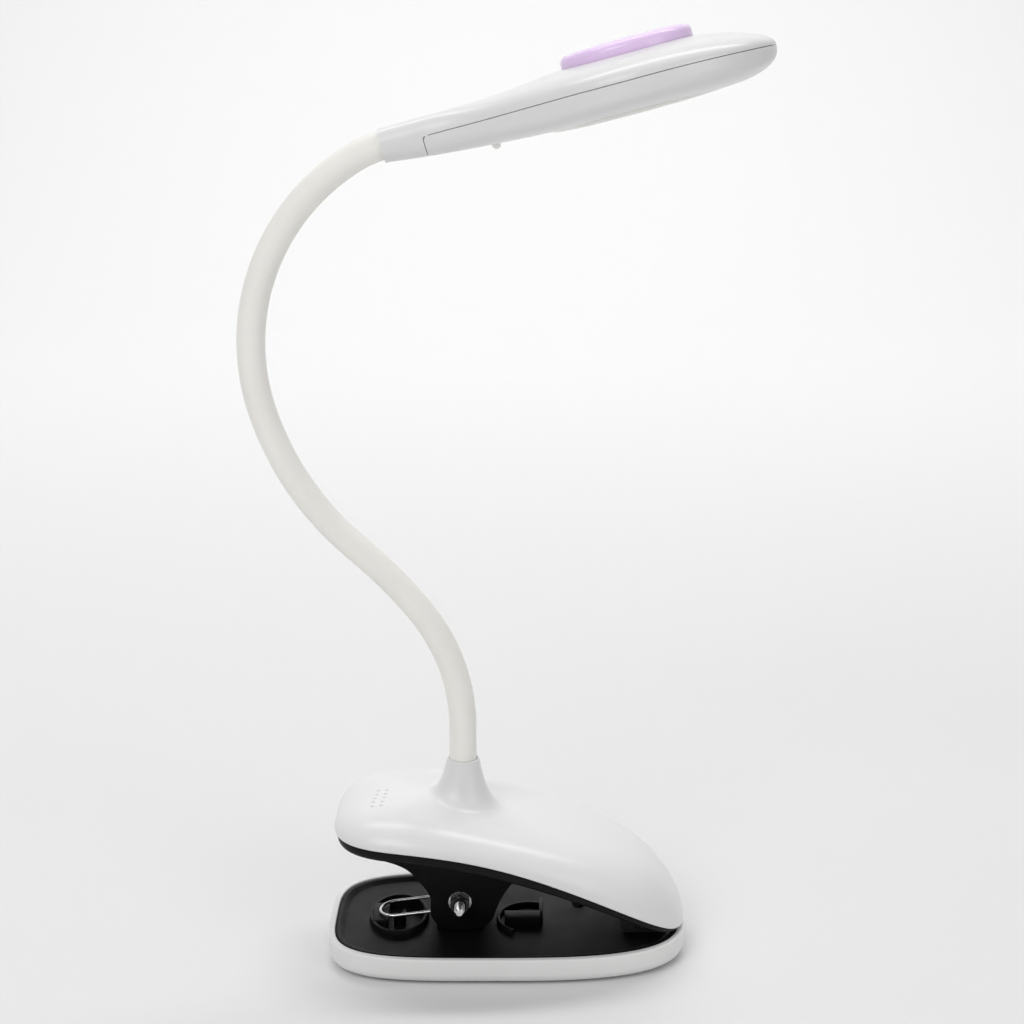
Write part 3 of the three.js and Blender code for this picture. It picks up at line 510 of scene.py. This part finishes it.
def silicone():
    """The neck's rubbery sleeve: a warm white with a matt skin that light sinks into a little."""
    color = (0.87, 0.855, 0.815)
    material, shader = new_material("silicone", color, 0.52, ior=1.41)
    shader.inputs["Subsurface Weight"].default_value = 0.12
    shader.inputs["Subsurface Radius"].default_value = (0.004, 0.003, 0.002)
    shader.inputs["Sheen Weight"].default_value = 0.08
    vary_color(material, shader, noise(material, 45), (0.855, 0.84, 0.80), (0.885, 0.87, 0.83))
    vary_roughness(material, shader, noise(material, 300, 5), 0.46, 0.6)
    add_bump(material, shader, noise(material, 2600, 3), 0.5, 0.00003)
    return material


def milky():
    """The diffuser's milky plastic."""
    material, shader = new_material("diffuser", (0.93, 0.93, 0.9), 0.4)
    shader.inputs["Subsurface Weight"].default_value = 0.3
    shader.inputs["Subsurface Radius"].default_value = (0.006, 0.006, 0.005)
    vary_roughness(material, shader, noise(material, 500, 4), 0.34, 0.46)
    add_bump(material, shader, noise(material, 3000, 2), 0.3, 0.00002)
    return material


MATERIALS = {
    "gloss_white": moulded("gloss_white", (0.74, 0.745, 0.74), 0.3, 0.004,
                           rough_span=0.015, bump=0.03),
    "tray_white": moulded("tray_white", (0.77, 0.77, 0.765), 0.32, 0.008,
                          rough_span=0.02, bump=0.04),
    "black_plastic": moulded("black_plastic", (0.0045, 0.0045, 0.005), 0.42, 0.12,
                             grain=1800, specular=0.16),
    "silicone": silicone(),
    "lilac": moulded("lilac", (0.83, 0.63, 0.92), 0.22, 0.012, rough_span=0.015, bump=0.03),
    "steel": metal("steel", (0.72, 0.72, 0.73), 0.22),
    # The nut's steel is painted near-black to stand in for the dark surroundings its faces reflect: a
    # painted dark reflection.
    "steel_painted_dark": metal("steel_painted_dark", (0.06, 0.06, 0.062), 0.3),
    "black_steel": metal("black_steel", (0.06, 0.06, 0.065), 0.35),
    "black_rubber": moulded("black_rubber", (0.014, 0.014, 0.014), 0.75, 0.1,
                            grain=2500, depth=0.00005),
    "diffuser": milky(),
    "reflector_white": moulded("reflector_white", (0.88, 0.88, 0.88), 0.45, 0.01),
    "circuit": moulded("circuit", (0.02, 0.16, 0.05), 0.4, 0.2, grain=900),
    "cell": metal("cell", (0.55, 0.57, 0.6), 0.4),
}


def finish_piece(obj, slot, body, *nodes, look=None):
    """A piece's material, picked by its slot unless a look is given, the body it rides on, and the nodes it
    stands for, which are hidden.
    """
    obj.data.materials.clear()
    obj.data.materials.append(MATERIALS[look or slot])
    if body:
        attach(obj, body)
    if nodes:
        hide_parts(*nodes)
    return obj


# CAD nodes that stay get the finish of their slot.
for entry in frame["record"]["subparts"]:
    node = frame["nodes"][entry["node"]]
    node.data.materials.clear()
    node.data.materials.append(MATERIALS[entry["material_slot"]])


# ---- Lower jaw ----
def lower_tray():
    profile = [(4.2 - 4.2 * math.sin(a), TRAY_UNDERSIDE + 4 * (1 - math.cos(a)))
               for a in np.linspace(0, math.pi / 2, 11)]
    profile += arc(0.8, TRAY_HEIGHT - 0.8, 0.8, 0.8, 180, 90, 5)
    profile += arc(TRAY_WALL - 0.6, TRAY_HEIGHT - 0.6, 0.6, 0.6, 90, 0, 4)
    profile += [(TRAY_WALL, TRAY_FLOOR + 0.6), (TRAY_WALL + 0.6, TRAY_FLOOR)]
    rings = [plan_ring(TRAY, inset, z) for inset, z in profile]
    rings += [plan_ring(TRAY, TRAY_WALL + 0.6, TRAY_FLOOR, scale=s) for s in (0.6, 0.2)]
    return finish_piece(make_object("tray", *loft(rings)), "tray_white", "lower_jaw", "lower_tray")


def oval(grow, z, count=96):
    """A ring of the spring collar, grown outward."""
    angle = np.linspace(0, 2 * math.pi, count, endpoint=False)
    x = COLLAR_X + (COLLAR_LENGTH + grow) * np.cos(angle)
    return np.stack([x, (COLLAR_WIDTH + grow) * np.sin(angle), np.full(count, float(z))], 1)


def pocket_rim():
    """The low rounded rim of the liner's pocket, swept along its open oval line."""
    top, low = POCKET_TOP, LINER_FLOOR - 1
    middle = POCKET_WALL / 2
    length, width = POCKET_LENGTH - middle, POCKET_WIDTH - middle
    start = math.pi / 2 - math.asin((POCKET_RIGHT - POCKET_X) / length)
    end = 3 * math.pi / 2 - math.asin((POCKET_X - POCKET_NEAR_END) / length)
    section = [(-middle, low), (-middle, top - 0.35)]
    section += [(-middle + 0.12, top - 0.1), (-middle + 0.35, top)]
    section += [(-x, z) for x, z in reversed(section)]
    rings = []
    for angle in np.linspace(start, end, 49):
        x, y = POCKET_X + length * math.cos(angle), POCKET_Y + width * math.sin(angle)
        out = np.array([width * math.cos(angle), length * math.sin(angle)])
        out /= np.linalg.norm(out)
        rings.append([(x + out[0] * across, y + out[1] * across, z) for across, z in section])
    return loft(rings)


def spring_collar():
    """The raised oval wall round the well that the spring's loop lies in."""
    wall_profile = [(0, LINER_FLOOR - 1), (0, LINER_FLOOR + 0.2), (-0.2, COLLAR_TOP - 0.5)]
    wall_profile += [(-0.35, COLLAR_TOP - 0.12), (-0.7, COLLAR_TOP), (-COLLAR_WALL + 0.4, COLLAR_TOP)]
    wall_profile += [(-COLLAR_WALL, COLLAR_TOP - 0.3), (-COLLAR_WALL - 0.3, LINER_FLOOR - 1)]
    return loft([oval(g, z) for g, z in wall_profile], loop=True)


def liner_shell():
    edge = TRAY_WALL + LINER_GAP
    profile = [(edge, LINER_UNDERSIDE), (edge, LINER_TOP - 0.5)]
    profile += arc(edge + 0.5, LINER_TOP - 0.5, 0.5, 0.5, 180, 90, 3)[1:]
    profile += arc(edge + 1.2, LINER_TOP - 0.5, 0.5, 0.5, 90, 40, 3)
    profile += arc(LINER_WALL_FOOT, LINER_FLOOR + 0.7, 0.7, 0.7, 220, 270, 3)
    rings = [plan_ring(TRAY, inset, z) for inset, z in profile]
    rings += [plan_ring(TRAY, LINER_WALL_FOOT, LINER_FLOOR, scale=s) for s in (0.97, 0.7, 0.3)]
    liner = make_object("liner", *loft(rings))
    well = [oval(-COLLAR_WALL - 0.8, WELL_FLOOR), oval(-COLLAR_WALL, COLLAR_TOP + 1)]
    return boolean(liner, make_object("well", *loft(well)), "DIFFERENCE")


def lower_liner():
    liner = liner_shell()
    low, bottom = LINER_FLOOR - 1, WELL_FLOOR - 0.6
    parts = [spring_collar()]
    # In the well: a saddle that holds the spring's loop, and a small hooked rib.
    for left, right, near, far, top, radius in (
        (-10, -4, -7.5, 7.5, 11.2, 0.5), (-2, 2.5, -2.2, -0.8, 10.4, 0.3),
        (1.1, 2.5, -2.2, 3.2, 10.4, 0.3), (-2, -0.8, -2.2, 1.2, 9.6, 0.3),
    ):
        parts.append(round_box(COLLAR_X + left, COLLAR_X + right, near, far, bottom, top, radius))
    foot = CHEEK_RADIUS + 0.5
    cheek = [(PIVOT_X - foot, low)]
    cheek += arc(PIVOT_X, PIVOT_Z, CHEEK_RADIUS, CHEEK_RADIUS, 180, 0, 32)
    cheek += [(PIVOT_X + foot, low)]
    parts += [plate(cheek, -CHEEK_OUTER, -CHEEK_INNER), plate(cheek, CHEEK_INNER, CHEEK_OUTER)]
    post_left = POCKET_RIGHT - RIB_THICKNESS
    parts.append(round_box(RIB_LEFT, POCKET_RIGHT, RIB_NEAR, RIB_FAR, low, RIB_TOP, 0.35))
    parts.append(round_box(post_left, POCKET_RIGHT, RIB_NEAR, POST_FAR, low, RIB_TOP, 0.3))
    parts.append(pocket_rim())
    extras = combine("liner_fittings", parts)
    finish_piece(extras, "black_plastic", "lower_jaw")
    tidy_mesh(liner)
    return finish_piece(liner, "black_plastic", "lower_jaw", "lower_liner")


def base_pad():
    profile = [(6.6, 0), (6.2, 0.1), (6, 0.3), (6, TRAY_UNDERSIDE)]
    rings = [plan_ring(TRAY, inset, z) for inset, z in profile]
    return finish_piece(make_object("foot_pad", *loft(rings)), "black_rubber", "lower_jaw", "base_pad")


# ---- Hinge ----
def hinge_bolt():
    """A domed socket head on the far side and a thread that stands out of the nut on the near side."""
    face = EAR_OUTER + WASHER
    profile = [(0, BOLT_END), (1.2, BOLT_END), (1.62, BOLT_END + 0.25)]
    y = BOLT_END + 0.45
    while y < -16.4:
        profile += [(1.66, y), (1.98, y + THREAD_PITCH * 0.45), (1.98, y + THREAD_PITCH * 0.55)]
        y += THREAD_PITCH
    profile += [(BOLT_RADIUS, -16), (BOLT_RADIUS, face), (3.6, face)]
    profile += [(3.6, face + 1.5)] + arc(2.4, face + 1.5, 1.2, 1.1, 0, 90, 5) + [(1.8, face + 2.6)]
    profile += [(1.6, face + 1.4), (0, face + 1.4)]
    bolt = make_object("pivot_bolt", *along_hinge(turned(profile, 48)), 30)
    return finish_piece(bolt, "steel", "lower_jaw", "hinge_bolt")


def hinge_nut():
    """A hexagon whose corners are turned off towards both faces, round the bolt's hole."""
    corner, y1 = NUT_FLATS / math.sqrt(3), -(EAR_OUTER + WASHER)
    y0 = y1 - NUT_HEIGHT
    sides = 96
    angle = np.linspace(0, 2 * math.pi, sides, endpoint=False)
    flats = NUT_FLATS / 2 / np.cos((angle + math.pi / 6) % (math.pi / 3) - math.pi / 6)

    def ring(limit, y):
        radius = np.minimum(flats, limit)
        return np.stack([radius * np.cos(angle), radius * np.sin(angle), np.full(sides, y)], 1)

    rings = [ring(2.02, y0 + 0.4), ring(2.45, y0), ring(3.4, y0), ring(3.75, y0 + 0.2)]
    rings += [ring(corner, y0 + 0.55), ring(corner, y1 - 0.55), ring(3.75, y1 - 0.2)]
    rings += [ring(3.4, y1), ring(2.02, y1)]
    nut = make_object("pivot_nut", *along_hinge(loft(rings, loop=True)), 25)
    # Its look is steel painted near-black, a painted dark reflection on its faces.
    return finish_piece(nut, "steel", "lower_jaw", "hinge_nut", look="steel_painted_dark")


def torsion_spring():
    """Two coils on the bolt, a leg from each under the handle, and a loop between them in the collar."""
    leg_angle = math.radians(SPRING_LEG_ANGLE)
    steps = 150
    turn = np.linspace(0, SPRING_TURNS, steps + 1)
    angle = leg_angle - math.pi / 2 - turn * 2 * math.pi
    coil = np.stack([PIVOT_X + SPRING_COIL * np.cos(angle), SPRING_INNER + turn * SPRING_PITCH,
                     PIVOT_Z + SPRING_COIL * np.sin(angle)], 1)
    far = coil[-1]
    tip_x = COLLAR_X - SPRING_LOOP_FROM_COLLAR
    a = np.linspace(math.pi / 2, 3 * math.pi / 2, 33)
    x = tip_x + far[1] + far[1] * np.cos(a)
    loop_z = SPRING_LOOP_HEIGHT + (x - tip_x) * SPRING_LOOP_SLOPE
    loop = np.stack([x, far[1] * np.sin(a), loop_z], 1)
    lower = np.stack([far + (loop[0] - far) * t for t in np.linspace(0.06, 0.94, 14)])
    leg_end = coil[0] + SPRING_LEG * np.array([math.cos(leg_angle), 0, math.sin(leg_angle)])
    leg = np.stack([leg_end + (coil[0] - leg_end) * t for t in np.linspace(0, 0.96, 16)])
    half = np.concatenate([leg, coil, lower])
    other = half[::-1] * np.array([1, -1, 1])
    line = np.concatenate([half, loop, other])
    spring = make_object("clip_spring", *wire(line, SPRING_WIRE / 2), 60)
    finish_piece(spring, "steel", None, "torsion_spring")
    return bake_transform(spring)


# ---- Upper jaw ----
def upper_shell():
    count = 256
    angle = np.linspace(0, 2 * math.pi, count, endpoint=False)

    def circle(radius):
        return np.stack([STEM_X + radius * np.cos(angle), radius * np.sin(angle)], 1)

    def under_dome(x, y):
        return dome_height(x, y, SHELL_WALL)

    # Inside, from the crown down to the rim
    rings = [plan_ring(SHELL, SHELL_WALL, under_dome, s, count) for s in (0.15, 0.35, 0.6, 0.78, 0.9, 0.97)]
    # Round the rim
    edge_profile = [(SHELL_WALL, 0.8)] + arc(SHELL_WALL - 0.7, 0.5, 0.7, 0.5, 0, -90, 3)
    edge_profile += arc(0.9, 0.7, 0.9, 0.7, 270, 180, 6)
    for inset, lift in edge_profile:
        rings.append(plan_ring(SHELL, inset, lambda x, y, up=lift: rim_height(x) + up, 1, count))
    # Outside, over the dome and up the flared stem
    edge = plan_ring(SHELL, 0, 0, 1, count)[:, :2]
    foot = circle(STEM_FLARE)
    start = 0.0009
    for share in start + (1 - start) * np.linspace(0, 1, 41)[:-1] ** 2.2:
        p = edge + (foot - edge) * share
        z = np.maximum(dome_height(p[:, 0], p[:, 1]), rim_height(p[:, 0]) + 0.72)
        rings.append(np.column_stack([p, z]))
    for share in np.linspace(0, 1, 34) ** 2.4:
        radius = STEM_FLARE + (STEM_RADIUS - STEM_FLARE) * share ** (1 / STEM_POWER)
        p = circle(radius)
        z = dome_height(p[:, 0], p[:, 1]) * (1 - share) + (STEM_TOP - 0.35) * share
        rings.append(np.column_stack([p, z]))
    # Lip of the stem and its bore
    lip = arc(STEM_RADIUS - 0.35, STEM_TOP - 0.35, 0.35, 0.35, 20, 150, 5)
    for radius, z in lip + [(STEM_BORE, STEM_TOP - 0.5), (STEM_BORE, STEM_TOP - 14)]:
        rings.append(np.column_stack([circle(radius), np.full(count, z)]))
    shell = make_object("shell", *loft(rings), 40)
    return finish_piece(shell, "gloss_white", "upper_jaw", "upper_shell")


def grip_dots():
    """Ten small oval bumps for the thumb, in two columns on the handle."""
    profile = [(0, -0.5), (DOT_RADIUS, -0.5)] + arc(0, 0, DOT_RADIUS, DOT_RISE, 0, 78, 4) + [(0, DOT_RISE)]
    verts, faces = turned(profile, 20)
    parts = []
    for column in range(2):
        for row in range(5):
            x = DOT_X + DOT_COLUMN * column - DOT_LEAN * row
            y = DOT_Y - DOT_ROW * row
            z = float(dome_height(np.array([x]), np.array([y]))[0])
            parts.append((verts * np.array([1, DOT_SQUEEZE, 1]) + np.array([x, y, z]), faces))
    return finish_piece(combine("grip_dots", parts), "gloss_white", "upper_jaw")


def ear_outline():
    """The ear from the side: a tongue with a shallow round end, flaring into the cover."""
    outline = [(-55, 47.2)]
    for middle, end in (
        ((-50.5, 38.8), (-44.2, 37.3)), ((-36.6, 35), (-34.2, 30.6)), ((-29.2, 25.6), (-28.7, 22)),
    ):
        outline += bezier(outline[-1], middle, end)
    outline.append((-29, 16.5))
    for middle, end in (
        ((-27, 9.6), (PIVOT_X, 9.5)), ((-7.4, 9.5), (-4.8, 15.5)), ((-1, 30), (12, 36.4)),
    ):
        outline += bezier(outline[-1], middle, end)
    return outline + [(-14, 45)]


def upper_cover():
    inner = SHELL_WALL + COVER_GAP

    def ring(inset, height, scale=1):
        return plan_ring(SHELL, inset, lambda x, y: height(x), scale)

    def face(share):
        return lambda x: cover_height(x) + share * (rim_height(x) - COVER_GAP - cover_height(x))

    def floor(x):
        return cover_height(x) + 2

    def lip(x):
        return rim_height(x) + COVER_LIP

    rings = [ring(inner + 2, floor, s) for s in (0.35, 0.7, 1)]
    rings += [ring(inner + 2, lip), ring(inner + 0.9, lip), ring(inner, face(1))]
    for inset, share in (
        (1.5, 1), (1.15, 0.94), (1.05, 0.82), (1, 0.45), (1.15, 0.3), (1.7, 0.08), (2.3, 0),
    ):
        rings.append(ring(inset, face(share)))
    rings += [ring(2.3, cover_height, s) for s in (0.94, 0.7, 0.35)]
    outline = ear_outline()
    parts = [loft(rings), plate(outline, -EAR_OUTER, -EAR_INNER), plate(outline, EAR_INNER, EAR_OUTER)]
    return finish_piece(combine("cover", parts), "black_plastic", "upper_jaw", "upper_cover")


# ---- Neck ----
def neck_sleeve():
    """The sleeve in eight stretches, each spanning one joint and meeting the next in mid-link."""
    bounds = [-8.0] + [FIRST_JOINT + (i + 0.5) * JOINT_STEP for i in range(NECK_JOINTS - 1)]
    bounds.append(NECK_LENGTH + 8)
    for i in range(NECK_JOINTS):
        low, high = bounds[i], bounds[i + 1]
        steps = max(8, round((high - low) / 0.9))
        rings = [neck_ring(d, NECK_RADIUS) for d in np.linspace(low, high, steps + 1)]
        piece = make_object(f"sleeve_{i + 1}", *loft(rings), 60)
        nodes = ["neck_base_sleeve"] if i == 0 else [f"neck_sleeve_{i}"]
        if i == NECK_JOINTS - 1:
            nodes.append("neck_top_sleeve")
        finish_piece(piece, "silicone", None, *nodes)
        start_x, start_z, _ = neck_at(max(low, 0.5))
        end_x, end_z, _ = neck_at(min(high, NECK_LENGTH - 0.5))
        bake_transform(piece)


# ---- Head ----
def head_stations():
    """Places of the head's sections, closer together towards the nose."""
    tail = np.concatenate([np.linspace(-1.5, SHOULDER, 16), np.linspace(SHOULDER, DISC, 84)[1:]])
    return np.concatenate([tail, DISC + NOSE * np.sin(np.linspace(0, math.pi / 2, 64)[1:-1])])


def head_skin(inset):
    rings = []
    for x in head_stations():
        if x <= DISC + NOSE - inset:
            rings.append(head_ring(x, inset))
    tip = (float(rings[-1][0, 0]) + 0.3, 0, float(head_split(DISC + NOSE)))
    return loft(rings, end_tip=tip)


def parting_line(lift):
    """The parting line seen from the side, turning down round a corner at the shoulder."""
    corner, edge = 1.5, SHOULDER - lift
    level = float(head_split(edge)) + lift
    line = [(edge, -30.0), (edge, level - corner)]
    line += arc(edge + corner, level - corner, corner, corner, 180, 90, 6)[1:]
    line += [(x, float(head_split(x)) + lift) for x in np.linspace(SHOULDER + 4, DISC + NOSE + 4, 64)]
    return line


def head_shells():
    """The head's hollow skin, cut along the parting line into its top and its bottom."""
    outer_verts, outer_faces = head_skin(0)
    inner_verts, inner_faces = head_skin(SKIN_THICKNESS)
    inner_faces = [tuple(reversed(f)) for f in inner_faces]
    offset = len(outer_verts)
    verts = np.vstack([outer_verts, inner_verts])
    faces = outer_faces + [tuple(i + offset for i in f) for f in inner_faces]
    for name, upper in (("head_top", True), ("head_bottom", False)):
        mesh = bpy.data.meshes.new(name)
        mesh.from_pydata([tuple(v) for v in verts * MM], [], faces)
        mesh.update()
        shell = bpy.data.objects.new(name, mesh)
        bpy.context.scene.collection.objects.link(shell)
        line = parting_line(0 if upper else -PARTING_GAP)
        outline = line + [(DISC + NOSE + 4, -30.0)]
        below = make_object("below", *prism(outline, 60))
        boolean(shell, below, "DIFFERENCE" if upper else "INTERSECT")
        if upper:
            profile = [(0, BUTTON_FLOOR), (HOLE_RADIUS, BUTTON_FLOOR), (HOLE_RADIUS, 20), (0, 20)]
            boolean(shell, make_object("pocket", *shifted(turned(profile, 200), DISC)), "DIFFERENCE")
        shell.data.transform(HEAD_MATRIX)
        shell.data.shade_smooth()
        shell.data.set_sharp_from_angle(angle=math.radians(28))
        finish_piece(shell, "gloss_white", "head", f"{name}_shell")
    # The pocket's floor is black so the gap round the cap shows as a dark line: painted shade.
    edge, low, high = HOLE_RADIUS + 0.6, BUTTON_FLOOR - 1, BUTTON_FLOOR
    floor = turned([(0, low), (edge, low), (edge, high), (0, high)], 120)
    finish_piece(make_object("button_pocket", *in_head(shifted(floor, DISC))), "black_plastic", "head")


def head_details():
    r, b, t = BUTTON_RADIUS, BUTTON_BOTTOM, BUTTON_TOP
    profile = [(0, b + 2), (r - 2, b + 2), (r - 2, b), (r - 0.2, b), (r, b + 0.2), (r, t - 3.3)]
    profile += arc(r - 3, t - 3.3, 3, 2.6, 0, 80, 10)[1:]
    profile += [(r - 6.5, t - 0.4), (r - 12, t - 0.12), (0, t)]
    button = make_object("button_cap", *in_head(shifted(turned(profile, 200), DISC)))
    finish_piece(button, "lilac", "button", "power_button")
    r, b, t = LENS_RADIUS, LENS_BOTTOM, LENS_TOP
    profile = [(r * s, b + 0.25 * s**2) for s in (0, 0.3, 0.6, 0.85, 0.95)]
    profile += arc(r - 0.9, b + 1.2, 0.9, 0.9, 280, 360, 6) + [(r, t), (0, t)]
    lens = make_object("lens", *in_head(shifted(turned(profile, 160), DISC)))
    finish_piece(lens, "diffuser", "head", "diffuser_lens")
    angles = np.radians((0, 20, 40, 60, 80, 90))
    profile = [(NUB_RADIUS * math.sin(a), -10.5 - 1.5 * math.cos(a)) for a in angles]
    profile += [(NUB_RADIUS, -7.8), (NUB_FLANGE, -7.8), (NUB_FLANGE, -7), (0, -7)]
    nub = make_object("indicator", *in_head(shifted(turned(profile, 40), NUB_X)))
    finish_piece(nub, "diffuser", "head", "indicator_led")


lower_tray()
lower_liner()
base_pad()
hinge_bolt()
hinge_nut()
torsion_spring()
upper_shell()
grip_dots()
upper_cover()
neck_sleeve()
head_shells()
head_details()


# ---- Floor and light ----
FLOOR_FRONT, FLOOR_BACK, BACKDROP_BEND, BACKDROP_TOP, FLOOR_HALF = -4.0, 1.6, 0.8, 4.0, 5.0
FLOOR_LEVEL = -0.0002


def area_light(name, location, target, size, power):
    data = bpy.data.lights.new(name, "AREA")
    data.shape = "RECTANGLE"
    data.size, data.size_y = size
    data.energy = power
    light = bpy.data.objects.new(name, data)
    light.location = location
    light.rotation_euler = (Vector(target) - Vector(location)).to_track_quat("-Z", "Y").to_euler()
    bpy.context.scene.collection.objects.link(light)


def floor_and_backdrop():
    """A pale floor that curves up into a backdrop."""
    bend = BACKDROP_BEND
    line = [(FLOOR_FRONT, FLOOR_LEVEL)]
    line += [
        (FLOOR_BACK + bend * math.sin(a), FLOOR_LEVEL + bend * (1 - math.cos(a)))
        for a in np.linspace(0, math.pi / 2, 25)
    ]
    line.append((FLOOR_BACK + bend, BACKDROP_TOP))
    count = len(line)
    verts = [(x, y, z) for x in (-FLOOR_HALF, FLOOR_HALF) for y, z in line]
    mesh = bpy.data.meshes.new("floor")
    mesh.from_pydata(verts, [], [(i, count + i, count + i + 1, i + 1) for i in range(count - 1)])
    floor = bpy.data.objects.new("floor", mesh)
    bpy.context.scene.collection.objects.link(floor)
    floor.data.shade_smooth()
    floor_material, _ = new_material("floor", (0.74, 0.74, 0.74), 0.7)
    floor.data.materials.append(floor_material)


def sky():
    """A soft grey sky, a little brighter overhead."""
    world = bpy.data.worlds.new("studio")
    bpy.context.scene.world = world
    world.use_nodes = True
    tree = world.node_tree
    background = tree.nodes["Background"]
    background.inputs["Strength"].default_value = 1.0
    direction = tree.nodes.new("ShaderNodeTexCoord")
    split = tree.nodes.new("ShaderNodeSeparateXYZ")
    ramp = tree.nodes.new("ShaderNodeValToRGB")
    set_ramp(ramp, (0.0, (0.31, 0.31, 0.31)), (0.9, (0.4, 0.4, 0.4)))
    tree.links.new(direction.outputs["Generated"], split.inputs["Vector"])
    tree.links.new(split.outputs["Z"], ramp.inputs["Fac"])
    tree.links.new(ramp.outputs["Color"], background.inputs["Color"])


floor_and_backdrop()
sky()
area_light("key", (-0.55, -0.8, 0.95), (0, 0, 0.18), (0.7, 0.7), 6)
area_light("side", (0.8, -0.75, 0.6), (0, 0, 0.12), (0.5, 0.7), 2.1)
area_light("backdrop_light", (0, 1.0, 2.4), (0, 2.3, 0.5), (3.0, 0.6), 58)
bpy.context.scene.view_settings.view_transform = "Standard"
